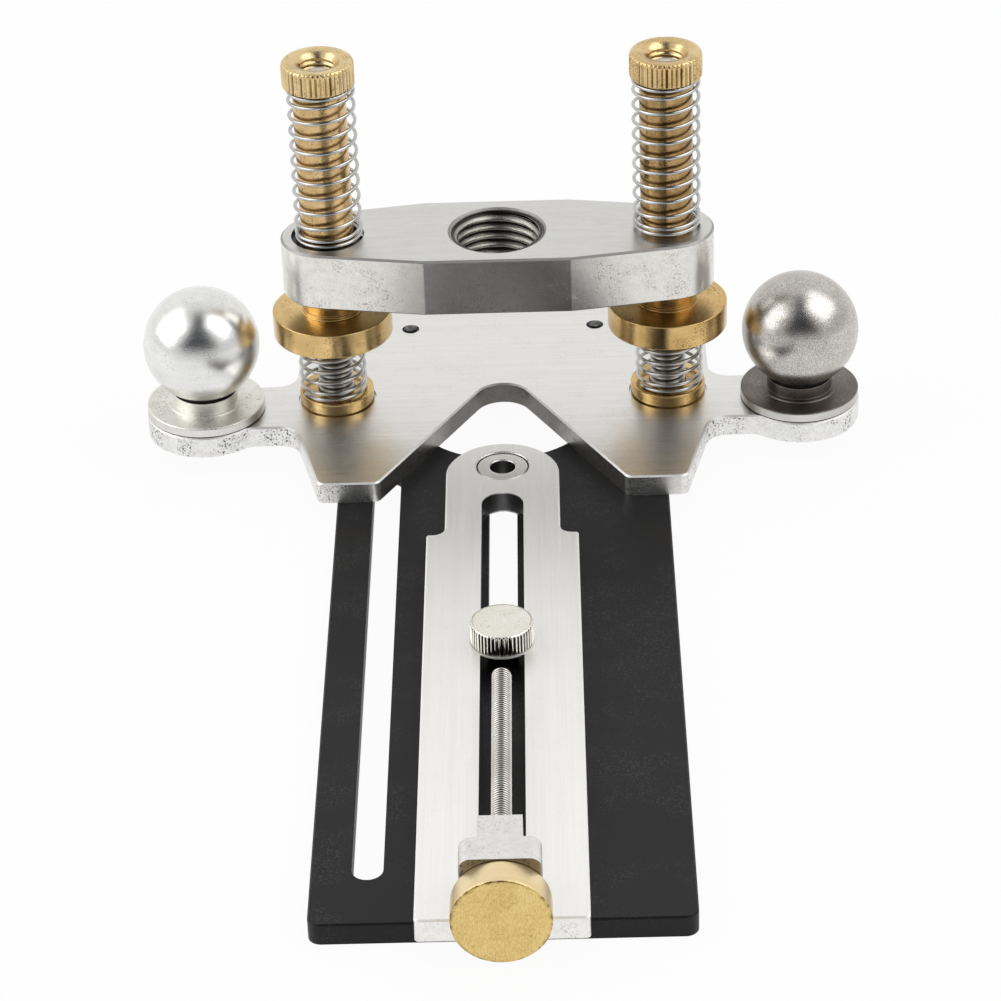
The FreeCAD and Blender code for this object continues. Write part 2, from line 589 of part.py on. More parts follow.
def biarc(start, heading, end, arrival):
    """Two arcs that flow into each other and join two points with given headings."""
    gap = end - start
    spread = 2 * (1 - heading.dot(arrival))
    along = gap.dot(heading + arrival)
    reach = (math.sqrt(along ** 2 + spread * gap.dot(gap)) - along) / spread
    before, after = start + heading * reach, end - arrival * reach
    joint = (before + after) * 0.5
    return [arc_between(start, heading, joint), arc_between(joint, (after - before).normalize(), end)]


def coil_shape(name, bottom, top, wire, outer_radius, turns, foot_turns, start_turn):
    """Compression spring: quarter turns of biarcs, closed at both ends, each end run out straight."""
    radius = outer_radius - wire / 2
    seat = worth("sizes.spring_seat_gap") + wire / 2
    closed_pitch = wire + worth("sizes.closed_turn_gap")
    closed_turns = int(foot_turns) + CLOSED_TOP_TURNS
    open_turns = int(turns) - closed_turns
    open_pitch = (top - bottom - 2 * seat - closed_turns * closed_pitch) / open_turns
    pitches = [closed_pitch] * (QUARTERS * int(foot_turns))
    pitches += [open_pitch] * (QUARTERS * open_turns)
    pitches += [closed_pitch] * (QUARTERS * CLOSED_TOP_TURNS)
    level = bottom + seat
    stations = []
    for quarter in range(len(pitches) + 1):
        before, after = pitches[max(quarter - 1, 0)], pitches[min(quarter, len(pitches) - 1)]
        turn = start_turn + 2 * math.pi / QUARTERS * quarter
        climb = (before + after) / 2 / (2 * math.pi)
        place = Vector(radius * math.cos(turn), radius * math.sin(turn), level)
        heading = Vector(-radius * math.sin(turn), radius * math.cos(turn), climb).normalize()
        stations.append((place, heading))
        level += after / QUARTERS
    first, last = stations[0], stations[-1]
    edges = [Part.makeLine(first[0] - first[1] * wire, first[0])]
    for (start, heading), (end, arrival) in zip(stations, stations[1:]):
        edges += biarc(start, heading, end, arrival)
    edges.append(Part.makeLine(last[0], last[0] + last[1] * wire))
    path = Part.Wire(edges)
    section = Part.Wire(Part.Circle(first[0] - first[1] * wire, first[1], wire / 2).toShape())
    tube = Part.BRepOffsetAPI.MakePipeShell(path)
    tube.add(section)
    tube.build()
    tube.makeSolid()
    shape = tube.shape()
    volume_share = shape.Volume / (math.pi * wire ** 2 / 4 * path.Length)
    print("%s: least gap %.2f mm, volume share %.3f" % (name, least_gap(path, turns) - wire, volume_share))
    return shape


def least_gap(path, turns):
    """Least distance between points of a coil's path that lie half a turn or more apart."""
    points = path.discretize(Number=int(turns) * POINTS_PER_TURN)
    half_turn = POINTS_PER_TURN // 2
    return min(first.distanceToPoint(other) for place, first in enumerate(points)
               for other in points[place + half_turn:place + 3 * half_turn])


# Fixed pieces: the two plates, the studs with their seat collars, the ball knobs and all screws.
finish("guide_plate", solid("guide_plate", guide_plate_shape()))
finish("base_plate", solid("base_plate", base_plate_shape()))

POSTS = (("left", "-sizes.post_offset"), ("right", "sizes.post_offset"))
EARS = (("left", "-sizes.ear_offset"), ("right", "sizes.ear_offset"))

for side, post_x in POSTS:
    stud = cylinder(side + "_stud_blank", "sizes.stud_radius", "levels.stud_top - sizes.guide_thick",
                    z="sizes.guide_thick")
    dimple = cone(side + "_stud_dimple", "sizes.stud_dimple / 10", "sizes.stud_dimple", "sizes.stud_dimple",
                  z="levels.stud_top - sizes.stud_dimple")
    finish(side + "_stud", cut(side + "_stud", stud, [dimple]), post_x)
    collar = turned(side + "_seat_collar", [
        ("sizes.stud_radius", "levels.base_top - sizes.collar_sink"),
        ("sizes.collar_radius", "levels.base_top - sizes.collar_sink"),
        ("sizes.collar_radius", "levels.seat_top - sizes.edge_break"),
        ("sizes.collar_radius - sizes.edge_break", "levels.seat_top"),
        ("sizes.stud_radius", "levels.seat_top")])
    finish(side + "_seat_collar", collar, post_x)

for side, ear_x in EARS:
    flange = turned(side + "_knob_flange", [
        ("0", "levels.base_top"),
        ("sizes.flange_radius - sizes.edge_break", "levels.base_top"),
        ("sizes.flange_radius", "levels.base_top + sizes.edge_break"),
        ("sizes.flange_radius", "levels.base_top + sizes.flange_thick - sizes.edge_break"),
        ("sizes.flange_radius - sizes.edge_break", "levels.base_top + sizes.flange_thick"),
        ("sizes.neck_radius + sizes.edge_break", "levels.base_top + sizes.flange_thick"),
        ("sizes.neck_radius", "levels.base_top + sizes.flange_thick + sizes.edge_break"),
        ("sizes.neck_radius", "levels.ball_level"),
        ("0", "levels.ball_level")])
    ball = bind(doc.addObject("Part::Sphere", side + "_ball"), Radius="sizes.ball_radius")
    bind_place(ball, z="levels.ball_level")
    tapped = cylinder(side + "_knob_tapping", "sizes.knob_screw_radius", "sizes.knob_screw_reach",
                      z="levels.base_top")
    knob = cut(side + "_ball_knob", fuse(side + "_knob_solid", [flange, ball]), [tapped])
    finish(side + "_ball_knob", knob, ear_x)

knob_screws = [countersunk_screw(worth(x), worth("-sizes.ear_forward"), worth("sizes.guide_thick"),
                                 worth("sizes.knob_screw_head"), worth("sizes.knob_screw_radius"),
                                 worth("levels.base_top + sizes.knob_screw_reach")) for side, x in EARS]
finish("knob_screws", solid("knob_screws", Part.makeCompound(knob_screws)))
plate_screws = [countersunk_screw(worth(x), worth("sizes.plate_screw_back"), 0,
                                  worth("sizes.plate_screw_head"), worth("sizes.plate_screw_radius"),
                                  worth("levels.base_top + sizes.plate_screw_proud"))
                for x in ("-sizes.plate_screw_offset", "sizes.plate_screw_offset")]
finish("plate_screws", solid("plate_screws", Part.makeCompound(plate_screws)))

# The posts: on each stud a lower spring, and the brass post that screws down against it, made of
# a tube, the stop disc at its foot and the knurled cap at its top, with the upper spring outside.
for side, post_x in POSTS:
    lower = coil_shape(side + "_lower_spring", worth("levels.seat_top"), worth("levels.disc_bottom"),
                       worth("sizes.lower_spring_wire"), worth("sizes.lower_spring_radius"),
                       worth("sizes.lower_spring_turns"), worth("sizes.lower_spring_foot"),
                       LOWER_SPRING_START)
    finish(side + "_lower_spring", solid(side + "_lower_spring", lower), post_x)
    disc = turned(side + "_stop_disc", [
        ("sizes.tube_radius", "levels.disc_bottom"),
        ("sizes.disc_radius - sizes.disc_chamfer", "levels.disc_bottom"),
        ("sizes.disc_radius", "levels.disc_bottom + sizes.disc_chamfer"),
        ("sizes.disc_radius", "levels.disc_top - sizes.disc_chamfer"),
        ("sizes.disc_radius - sizes.disc_chamfer", "levels.disc_top"),
        ("sizes.boss_radius", "levels.disc_top"),
        ("sizes.boss_radius", "levels.head_bottom"),
        ("sizes.tube_radius", "levels.head_bottom")])
    finish(side + "_stop_disc", disc, post_x)
    tube = turned(side + "_post_tube", [
        ("sizes.stud_radius + sizes.thread_gap", "levels.disc_bottom"),
        ("sizes.tube_radius", "levels.disc_bottom"),
        ("sizes.tube_radius", "levels.cap_bottom"),
        ("sizes.stud_radius + sizes.thread_gap", "levels.cap_bottom")])
    finish(side + "_post_tube", tube, post_x)
    finish(side + "_knurled_cap", solid(side + "_knurled_cap", knurled_cap_shape()), post_x)
    pocket_depth = worth("sizes.spring_pocket_depth") if side == "left" else 0
    upper = coil_shape(side + "_upper_spring", worth("levels.head_top") - pocket_depth,
                       worth("levels.cap_bottom"), worth("sizes.upper_spring_wire"),
                       worth("sizes.upper_spring_radius"), worth("sizes.upper_spring_turns"),
                       worth("sizes.upper_spring_foot"), UPPER_SPRING_START)
    finish(side + "_upper_spring", solid(side + "_upper_spring", upper), post_x)

finish("head_yoke", solid("head_yoke", head_yoke_shape()))

# The slide bar with its pivot bush and adjuster block, and the screws that join them.
finish("slide_bar", solid("slide_bar", slide_bar_shape()))
bush = turned("pivot_bush", [
    ("sizes.bush_bore", "sizes.guide_thick"),
    ("sizes.bush_radius", "sizes.guide_thick"),
    ("sizes.bush_radius", "levels.bar_top - sizes.bush_sink"),
    ("sizes.bush_bore + sizes.bush_chamfer", "levels.bar_top - sizes.bush_sink"),
    ("sizes.bush_bore", "levels.bar_top - sizes.bush_sink - sizes.bush_chamfer")])
finish("pivot_bush", bush)
finish("adjuster_block", solid("adjuster_block", adjuster_block_shape()))
block_screws = [countersunk_screw(x, y, worth("sizes.guide_thick"), worth("sizes.block_screw_head"),
                                  worth("sizes.block_screw_radius"),
                                  worth("levels.bar_top + sizes.block_screw_reach"))
                for x, y in block_screw_spots()]
finish("block_screws", solid("block_screws", Part.makeCompound(block_screws)))

# The adjuster rod and its brass knob lie along Y, so their half sections run forward from the bit axis.
LYING = Placement(Vector(0, 0, 0), Rotation(Vector(1, 0, 0), 90))
rod = turned("adjuster_rod", [
    ("0", "sizes.rod_tip"),
    ("sizes.rod_radius - sizes.rod_nose", "sizes.rod_tip"),
    ("sizes.rod_radius", "sizes.rod_tip + sizes.rod_nose"),
    ("sizes.rod_radius", "levels.rod_front"),
    ("0", "levels.rod_front")])
rod.Placement = LYING
finish("adjuster_rod", rod, z="levels.rod_level")
knob = turned("adjuster_knob", [
    ("0", "levels.rod_front + sizes.thread_gap"),
    ("sizes.rod_radius + sizes.thread_gap", "levels.rod_front + sizes.thread_gap"),
    ("sizes.rod_radius + sizes.thread_gap", "levels.knob_back"),
    ("sizes.knob_radius - sizes.knob_rounding", "levels.knob_back"),
    ("sizes.knob_radius", "levels.knob_back + sizes.knob_rounding"),
    ("sizes.knob_radius", "levels.knob_front - sizes.knob_rounding"),
    ("sizes.knob_radius - sizes.knob_rounding", "levels.knob_front"),
    ("0", "levels.knob_front")])
knob.Placement = LYING
finish("adjuster_knob", knob, z="levels.rod_level")

# The lock screw turns in the guide plate and presses the bar down through its washer.
washer = turned("lock_washer", [
    ("sizes.lock_shank_radius + sizes.thread_gap", "levels.bar_top"),
    ("sizes.washer_radius", "levels.bar_top"),
    ("sizes.washer_radius", "levels.washer_top"),
    ("sizes.lock_shank_radius + sizes.thread_gap", "levels.washer_top")])
finish("lock_washer", washer)
finish("lock_screw", solid("lock_screw", lock_screw_shape()))

doc.recompute()
for thing in doc.Objects:
    if "Invalid" in thing.State or "Error" in thing.State:
        raise RuntimeError("%s failed: %s" % (thing.Name, thing.State))
for name, piece in NODES.items():
    shape = piece.Shape
    if shape.isNull() or not shape.isValid() or not shape.Solids:
        raise RuntimeError("%s has no valid solid" % name)

os.makedirs("parts", exist_ok=True)
for name, piece in NODES.items():
    piece.Shape.exportStep(os.path.join("parts", name + ".step"))
print("%d nodes written" % len(NODES))
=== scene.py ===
import math
import bmesh
import bpy
import numpy as np
from mathutils import Matrix


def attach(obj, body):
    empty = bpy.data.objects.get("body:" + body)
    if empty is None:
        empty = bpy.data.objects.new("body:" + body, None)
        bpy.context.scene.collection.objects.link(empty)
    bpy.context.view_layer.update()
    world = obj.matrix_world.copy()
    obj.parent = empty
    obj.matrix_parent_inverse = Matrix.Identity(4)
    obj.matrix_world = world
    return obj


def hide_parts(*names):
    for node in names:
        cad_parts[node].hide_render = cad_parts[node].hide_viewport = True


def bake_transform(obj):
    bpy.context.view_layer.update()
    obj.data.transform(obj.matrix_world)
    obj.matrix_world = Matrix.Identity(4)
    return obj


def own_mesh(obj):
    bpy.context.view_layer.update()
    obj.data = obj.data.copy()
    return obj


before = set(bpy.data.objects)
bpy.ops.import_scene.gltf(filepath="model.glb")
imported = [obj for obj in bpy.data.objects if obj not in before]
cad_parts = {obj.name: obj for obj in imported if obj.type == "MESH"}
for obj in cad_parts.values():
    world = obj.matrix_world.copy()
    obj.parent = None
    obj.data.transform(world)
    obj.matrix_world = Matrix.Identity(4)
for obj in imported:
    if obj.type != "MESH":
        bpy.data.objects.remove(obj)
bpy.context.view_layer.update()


# The guide plate lies on the workpiece and carries everything else.
# It is milled from one black anodised aluminium plate, so its finish is even and satin, with a little
# pale dust, and its chamfered edges are a shade darker.

TO_METRES = 0.001
BIT_Y = 75.25


def feed(tree, node, sockets):
    """Each named socket of the node takes a value, or the socket that feeds it."""
    for name, value in sockets.items():
        if isinstance(value, bpy.types.NodeSocket):
            tree.links.new(value, node.inputs[name])
        else:
            node.inputs[name].default_value = value
    return node


def lay(tree, kind, sockets=None, **settings):
    """A node of that kind in the tree, with its settings and with its sockets fed."""
    node = tree.nodes.new("ShaderNode" + kind)
    for name, value in settings.items():
        setattr(node, name, value)
    return feed(tree, node, sockets or {})


def maths(tree, operation, *values):
    """The outcome of one operation on values or sockets."""
    return lay(tree, "Math", dict(enumerate(values)), operation=operation).outputs[0]


def ramp(tree, value, low, high, first=0.0, last=1.0, smooth=False):
    """Runs from first to last as the value goes from low to high, and stays level outside them."""
    sockets = {0: value, 1: low, 2: high, 3: first, 4: last}
    kind = "SMOOTHSTEP" if smooth else "LINEAR"
    return lay(tree, "MapRange", sockets, interpolation_type=kind).outputs[0]


def mixed(tree, share, first, second):
    """The first colour, which gives way to the second by the share."""
    return lay(tree, "Mix", {0: share, 6: first, 7: second}, data_type="RGBA").outputs[2]


def noise(tree, place, scale, detail, roughness=0.6):
    """Cloudy noise about 0.5; more detail and roughness make it busier."""
    sockets = {"Vector": place, "Scale": scale, "Detail": detail, "Roughness": roughness}
    return lay(tree, "TexNoise", sockets).outputs[0]


def bumped(tree, height, strength, distance, invert=False, **under):
    """The normal of a surface that rises with the height, or sinks with it where inverted."""
    sockets = {"Height": height, "Strength": strength, "Distance": distance, **under}
    return lay(tree, "Bump", sockets, invert=invert).outputs[0]


def new_finish(name, **constants):
    """A material with a Principled shader whose constant sockets are set on the shader itself."""
    finish = bpy.data.materials.new(name)
    finish.use_nodes = True
    shader = finish.node_tree.nodes["Principled BSDF"]
    for socket, value in constants.items():
        shader.inputs[socket.replace("_", " ").title().replace("Ior", "IOR")].default_value = value
    return finish, finish.node_tree, shader


def new_effect(name, inputs, outputs):
    """A node group with named inputs (name, kind, value) and outputs (name, kind)."""
    effect = bpy.data.node_groups.new(name, "ShaderNodeTree")
    for label, kind, value in inputs:
        socket = effect.interface.new_socket(label, in_out="INPUT", socket_type="NodeSocket" + kind)
        if value is not None:
            socket.default_value = value
    for label, kind in outputs:
        effect.interface.new_socket(label, in_out="OUTPUT", socket_type="NodeSocket" + kind)
    entry = effect.nodes.new("NodeGroupInput")
    leave = effect.nodes.new("NodeGroupOutput")
    return effect, entry.outputs, leave.inputs


def place_effect(tree, effect, **sockets):
    """One use of an effect in a material, with its own values."""
    return lay(tree, "Group", sockets, node_tree=effect).outputs


# Broken edges: the chamfers of a flat piece are the faces that lean between its top and its sides.
edge_effect, given, result = new_effect("broken_edges", [], [("Edge", "Float")])
facing = lay(edge_effect, "SeparateXYZ", {0: lay(edge_effect, "TexCoord").outputs["Normal"]}).outputs
upness = maths(edge_effect, "ABSOLUTE", facing["Z"])
above_side = ramp(edge_effect, upness, 0.25, 0.5, smooth=True)
below_top = ramp(edge_effect, upness, 0.97, 0.85, smooth=True)
edge_mask = maths(edge_effect, "MULTIPLY", above_side, below_top)
edge_effect.links.new(edge_mask, result["Edge"])

# Grain: fine even roughness of an anodised or blasted skin, with slow clouds of tone under it.
grain_effect, given, result = new_effect(
    "grain", [("Vector", "Vector", None), ("Fineness", "Float", 4000.0), ("Cloud", "Float", 40.0)],
    [("Grain", "Float"), ("Clouds", "Float")])
grain = noise(grain_effect, given["Vector"], given["Fineness"], 2.0)
grain_effect.links.new(grain, result["Grain"])
clouds = noise(grain_effect, given["Vector"], given["Cloud"], 4.0)
grain_effect.links.new(clouds, result["Clouds"])

# Pits: small dark specks, gathered in patches, as on sawn or cast walls; on black they are pale dust.
pit_effect, given, result = new_effect(
    "pits", [("Vector", "Vector", None), ("Fineness", "Float", 3000.0), ("Patches", "Float", 160.0)],
    [("Pits", "Float")])
specks = noise(pit_effect, given["Vector"], given["Fineness"], 2.0, 0.5)
holes = ramp(pit_effect, specks, 0.56, 0.63)
patches = noise(pit_effect, given["Vector"], given["Patches"], 3.0, 0.5)
where = ramp(pit_effect, patches, 0.46, 0.6)
pits = maths(pit_effect, "MULTIPLY", holes, where)
pit_effect.links.new(pits, result["Pits"])

black_satin, tree, shader = new_finish("black_satin", metallic=0.0, specular_ior_level=0.22)
place = lay(tree, "TexCoord").outputs["Object"]
grain = place_effect(tree, grain_effect, Vector=place, Fineness=5200.0, Cloud=22.0)
edge = place_effect(tree, edge_effect)["Edge"]
dust = place_effect(tree, pit_effect, Vector=place, Fineness=3000.0, Patches=90.0)["Pits"]
dust = maths(tree, "MULTIPLY", dust, 0.06)
tone = ramp(tree, grain["Clouds"], 0.3, 0.7)
colour = mixed(tree, tone, (0.009, 0.009, 0.0098, 1), (0.014, 0.014, 0.0152, 1))
colour = mixed(tree, edge, colour, (0.006, 0.006, 0.007, 1))
colour = mixed(tree, dust, colour, (0.4, 0.4, 0.4, 1))
rough = ramp(tree, grain["Grain"], 0.2, 0.8, 0.38, 0.56)
bump = bumped(tree, grain["Grain"], 0.22, 0.00004)
feed(tree, shader, {"Base Color": colour, "Roughness": rough, "Normal": bump})


def stand(name, data):
    """An object with that mesh, lamp or camera, linked to the scene."""
    thing = bpy.data.objects.new(name, data)
    bpy.context.scene.collection.objects.link(thing)
    return thing


def fit(name, mesh, body, nodes, crease=None):
    """A finished piece on its body and the CAD nodes that it stands for. It is shaded
    smooth, except across edges that turn by more than the crease angle where one is given."""
    mesh.polygons.foreach_set("use_smooth", np.ones(len(mesh.polygons), dtype=bool))
    if crease is not None:
        mesh.set_sharp_from_angle(angle=math.radians(crease))
    piece = stand(name, mesh)
    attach(piece, body)
    if nodes:
        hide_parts(*nodes)
    return piece


SAME_POINT = 1e-7
CREASE = 26


def even_copy(node, name, body, finish):
    """Merged copy of a CAD node that takes its place: equal corners become one point, and faces that
    meet at less than the crease angle shade as one."""
    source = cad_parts[node].data
    points = np.empty(len(source.vertices) * 3)
    source.vertices.foreach_get("co", points)
    points = points.reshape(-1, 3)
    corners = np.empty(len(source.loops), dtype=np.int64)
    source.loops.foreach_get("vertex_index", corners)
    keys = np.round(points / SAME_POINT).astype(np.int64)
    first, merged = np.unique(keys, axis=0, return_index=True, return_inverse=True)[1:]
    faces = merged.reshape(-1)[corners].reshape(-1, 3)
    whole = (faces[:, 0] != faces[:, 1]) & (faces[:, 1] != faces[:, 2]) & (faces[:, 2] != faces[:, 0])
    mesh = bpy.data.meshes.new(name)
    mesh.from_pydata(points[first], [], faces[whole])
    mesh.materials.append(finish)
    piece = fit(name, mesh, body, [node], CREASE)
    piece.modifiers.new("even_shading", "WEIGHTED_NORMAL").keep_sharp = True


even_copy("guide_plate", "black_guide_plate", "base", black_satin)


# The base plate is sawn and milled from brushed aluminium plate: the brush lines run along X on its
# top, and the cut walls are duller and pitted. Two black screws from below join it to the guide plate.

# Brush lines: noise that is stretched far along the brushing, so it reads as long fine scratches.
brush_effect, given, result = new_effect(
    "brush_lines", [("Vector", "Vector", None)], [("Lines", "Float"), ("Broad", "Float")])
fine = noise(brush_effect, given["Vector"], 1.0, 3.0, 0.65)
wider = {0: given["Vector"], 1: (0.22, 0.22, 0.22)}
wider = lay(brush_effect, "VectorMath", wider, operation="MULTIPLY").outputs[0]
broad = noise(brush_effect, wider, 1.0, 2.0, 0.5)
brush_effect.links.new(fine, result["Lines"])
brush_effect.links.new(broad, result["Broad"])

# Zone: 1 inside an upright box about a centre and 0 outside it, with a soft edge of the given depth.
zone_effect, given, result = new_effect(
    "zone", [("Vector", "Vector", None), ("Centre", "Vector", None), ("Half", "Vector", None),
             ("Soft", "Float", 0.0003)], [("Inside", "Float")])
away = lay(zone_effect, "VectorMath", {0: given["Vector"], 1: given["Centre"]}, operation="SUBTRACT")
away = lay(zone_effect, "VectorMath", {0: away.outputs[0]}, operation="ABSOLUTE")
spare = lay(zone_effect, "VectorMath", {0: given["Half"], 1: away.outputs[0]}, operation="SUBTRACT")
spare = lay(zone_effect, "SeparateXYZ", {0: spare.outputs[0]}).outputs
least = maths(zone_effect, "MINIMUM", spare["X"], spare["Y"])
least = maths(zone_effect, "MINIMUM", least, spare["Z"])
inside = ramp(zone_effect, least, 0.0, given["Soft"])
zone_effect.links.new(inside, result["Inside"])


def between(tree, share, first, second):
    """The first value, which gives way to the second by the share."""
    return lay(tree, "Mix", {0: share, 2: first, 3: second}, data_type="FLOAT").outputs[0]


# Painted shade: faces of brushed pieces that look down take this darker grey.
UNDERSIDE_SHADE = (0.26, 0.255, 0.245, 1)
PIT_COLOUR = (0.10, 0.095, 0.085, 1)


def brushed_aluminium(name, lines_per_metre, light, dark, pitting, shade_zones, walls, wall_rough, uneven=0.8,
                      top_rough=(0.36, 0.27), edge_tone=1.0, sunk_shade_zones=()):
    """Brushed aluminium: lines_per_metre stretches the lines along the brushing. Walls take their own
    tone and the pits; inside each of shade_zones (centre, half size, tone and soft edge, in mm) they take
    that zone's tone, which is painted shade, on some faces a painted dark reflection, and inside
    sunk_shade_zones everything takes painted shade. Faces that look down take painted shade too. uneven is
    the strength of the walls' fine mottling, top_rough the roughness between and on the lines, and
    edge_tone darkens the broken edges."""
    finish, tree, shader = new_finish(name, metallic=1.0)
    place = lay(tree, "TexCoord").outputs["Object"]
    stretched = lay(tree, "Mapping", {"Vector": place, "Scale": lines_per_metre}).outputs[0]
    brush = place_effect(tree, brush_effect, Vector=stretched)
    pits = place_effect(tree, pit_effect, Vector=place, Fineness=2400.0, Patches=190.0)["Pits"]
    mottle = place_effect(tree, grain_effect, Vector=place, Fineness=4200.0, Cloud=700.0)
    edge = place_effect(tree, edge_effect)["Edge"]
    upness = lay(tree, "SeparateXYZ", {0: lay(tree, "TexCoord").outputs["Normal"]}).outputs["Z"]
    wall = ramp(tree, upness, 0.5, 0.2)
    under = ramp(tree, upness, -0.5, -0.9)
    lines = ramp(tree, brush["Lines"], 0.34, 0.66)
    broad = ramp(tree, brush["Broad"], 0.38, 0.62)
    tone = between(tree, 0.3, lines, broad)
    top = mixed(tree, tone, dark, light)

    def tinted(colour, zones):
        """The colour, replaced inside each zone by that zone's tint of painted shade."""
        for centre, half, tint, soft in zones:
            box = {"Vector": place, "Centre": [value * TO_METRES for value in centre],
                   "Half": [value * TO_METRES for value in half], "Soft": soft * TO_METRES}
            inside = place_effect(tree, zone_effect, **box)["Inside"]
            colour = mixed(tree, inside, colour, tint)
        return colour

    # Painted shade: walls inside the shade zones take those zones' dark tints.
    side = tinted(walls, shade_zones)
    speckle = ramp(tree, mottle["Grain"], 0.3, 0.7, 1 - 0.22 * uneven, 1 + 0.14 * uneven)
    drift = ramp(tree, mottle["Clouds"], 0.35, 0.65, 1 - 0.12 * uneven, 1 + 0.06 * uneven)
    speckle = maths(tree, "MULTIPLY", speckle, drift)
    side = lay(tree, "VectorMath", {0: side, "Scale": speckle}, operation="SCALE").outputs[0]
    colour = mixed(tree, wall, top, side)
    # Painted shade under things: faces that look down turn to the underside grey.
    colour = mixed(tree, under, colour, UNDERSIDE_SHADE)
    depth = ramp(tree, wall, 0.0, 1.0, 0.12 * pitting, pitting)
    pitted = maths(tree, "MULTIPLY", pits, depth)
    colour = mixed(tree, pitted, colour, PIT_COLOUR)
    edge_scale = ramp(tree, edge, 0.0, 1.0, 1.0, edge_tone)
    colour = lay(tree, "VectorMath", {0: colour, "Scale": edge_scale}, operation="SCALE").outputs[0]
    # Painted shade: everything inside the sunk zones takes their dark tints.
    colour = tinted(colour, sunk_shade_zones)
    rough = ramp(tree, lines, 0.0, 1.0, *top_rough)
    rough = between(tree, wall, rough, wall_rough)
    rough = maths(tree, "MULTIPLY_ADD", edge, 0.2, rough)
    rising = maths(tree, "MULTIPLY", wall, mottle["Grain"])
    bump = bumped(tree, lines, 0.2, 0.00002)
    bump = bumped(tree, rising, 0.3 * uneven, 0.00004, Normal=bump)
    bump = bumped(tree, pitted, 0.5, 0.00008, invert=True, Normal=bump)
    feed(tree, shader, {"Base Color": colour, "Roughness": rough, "Normal": bump})
    return finish


BASE_MIDDLE = 6.9
# Painted shade on the base plate's walls: the notch's sides go dark grey and its far walls near black, and
# the legs' front walls a little darker than the rest, a painted dark reflection of the black plate.
notch_side_shade = ((0, BIT_Y - 14, BASE_MIDDLE), (26.9, 22.1, 2.6), (0.46, 0.45, 0.43, 1), 0.3)
notch_rear_shade = ((0, BIT_Y + 10, BASE_MIDDLE), (40.0, 31.0, 40.0), (0.15, 0.146, 0.138, 1), 12.0)
leg_front_shade = ((0, BIT_Y - 36.5, BASE_MIDDLE), (42.0, 1.2, 2.6), (0.80, 0.79, 0.77, 1), 0.3)
plate_aluminium = brushed_aluminium(
    "brushed_plate", (45, 4600, 4600), (0.83, 0.825, 0.81, 1), (0.76, 0.753, 0.737, 1), 1.0,
    [notch_side_shade, notch_rear_shade, leg_front_shade], (0.86, 0.855, 0.84, 1), 0.36)
even_copy("base_plate", "brushed_base_plate", "base", plate_aluminium)


def eased(corners, radius, ring=False, steps=5):
    """Profile whose corners are rounded: near corner C the line is (1-s)^2 A + 2s(1-s) C + s^2 B, with A
    and B on the two edges. A point just outside each curve keeps the flat faces flat in shading."""
    corners = np.asarray(corners, dtype=float)
    before = np.roll(corners, 1, axis=0) - corners
    after = np.roll(corners, -1, axis=0) - corners
    before_length = np.linalg.norm(before, axis=1, keepdims=True)
    after_length = np.linalg.norm(after, axis=1, keepdims=True)
    radius = np.broadcast_to(np.asarray(radius, dtype=float), len(corners))[:, None]
    reach = np.minimum(radius, 0.42 * np.minimum(before_length, after_length))
    guard = np.minimum(reach * 1.25, 0.48 * np.minimum(before_length, after_length))
    back, ahead = before / before_length, after / after_length
    share = np.linspace(0, 1, steps)[None, :, None]
    start, end = (corners + back * reach)[:, None, :], (corners + ahead * reach)[:, None, :]
    curve = (1 - share) ** 2 * start + 2 * share * (1 - share) * corners[:, None, :] + share ** 2 * end
    outside = (corners + back * guard)[:, None, :], (corners + ahead * guard)[:, None, :]
    whole = np.concatenate([outside[0], curve, outside[1]], axis=1)
    if ring:
        return whole.reshape(-1, 2)
    return np.concatenate([corners[:1], whole[1:-1].reshape(-1, 2), corners[-1:]])


def skin(name, grid, finishes, body, nodes, ring=False, zones=None):
    """Skin over a grid of points in mm: rows run along the piece and columns close round it; the rows
    close too for a ring, and otherwise the ends are drawn to a point. zones gives each row's finish."""
    rows, columns = grid.shape[:2]
    spans = rows if ring else rows - 1
    row = np.arange(spans)[:, None]
    column = np.arange(columns)[None, :]
    next_row, next_column = (row + 1) % rows, (column + 1) % columns
    quads = np.stack([row * columns + column, row * columns + next_column,
                      next_row * columns + next_column, next_row * columns + column], axis=-1)
    mesh = bpy.data.meshes.new(name)
    mesh.from_pydata(grid.reshape(-1, 3) * TO_METRES, [], quads.reshape(-1, 4))
    if zones is not None:
        mesh.polygons.foreach_set("material_index", np.repeat(np.asarray(zones)[:spans], columns))
    for finish in finishes:
        mesh.materials.append(finish)
    work = bmesh.new()
    work.from_mesh(mesh)
    bmesh.ops.remove_doubles(work, verts=work.verts, dist=SAME_POINT)
    bmesh.ops.recalc_face_normals(work, faces=work.faces)
    work.to_mesh(mesh)
    work.free()
    return fit(name, mesh, body, nodes)


def turned(profile, middle, around=96, relief=None, lying=False):
    """Grid of a turned piece: at angle a a profile point (radius r, level h) goes to (r cos a, r sin a, h)
    about its middle; relief gives r anew from (r, h, a). A lying piece has its axis along Y."""
    angle = np.linspace(0, 2 * math.pi, around, endpoint=False)[None, :]
    radius = np.repeat(profile[:, :1], around, axis=1)
    level = np.repeat(profile[:, 1:], around, axis=1)
    if relief is not None:
        radius = relief(radius, level, angle)
    if lying:
        grid = [radius * np.cos(angle) + middle[0], level, radius * np.sin(angle) + middle[1]]
    else:
        grid = [radius * np.cos(angle) + middle[0], radius * np.sin(angle) + middle[1], level]
    return np.stack(grid, axis=-1)


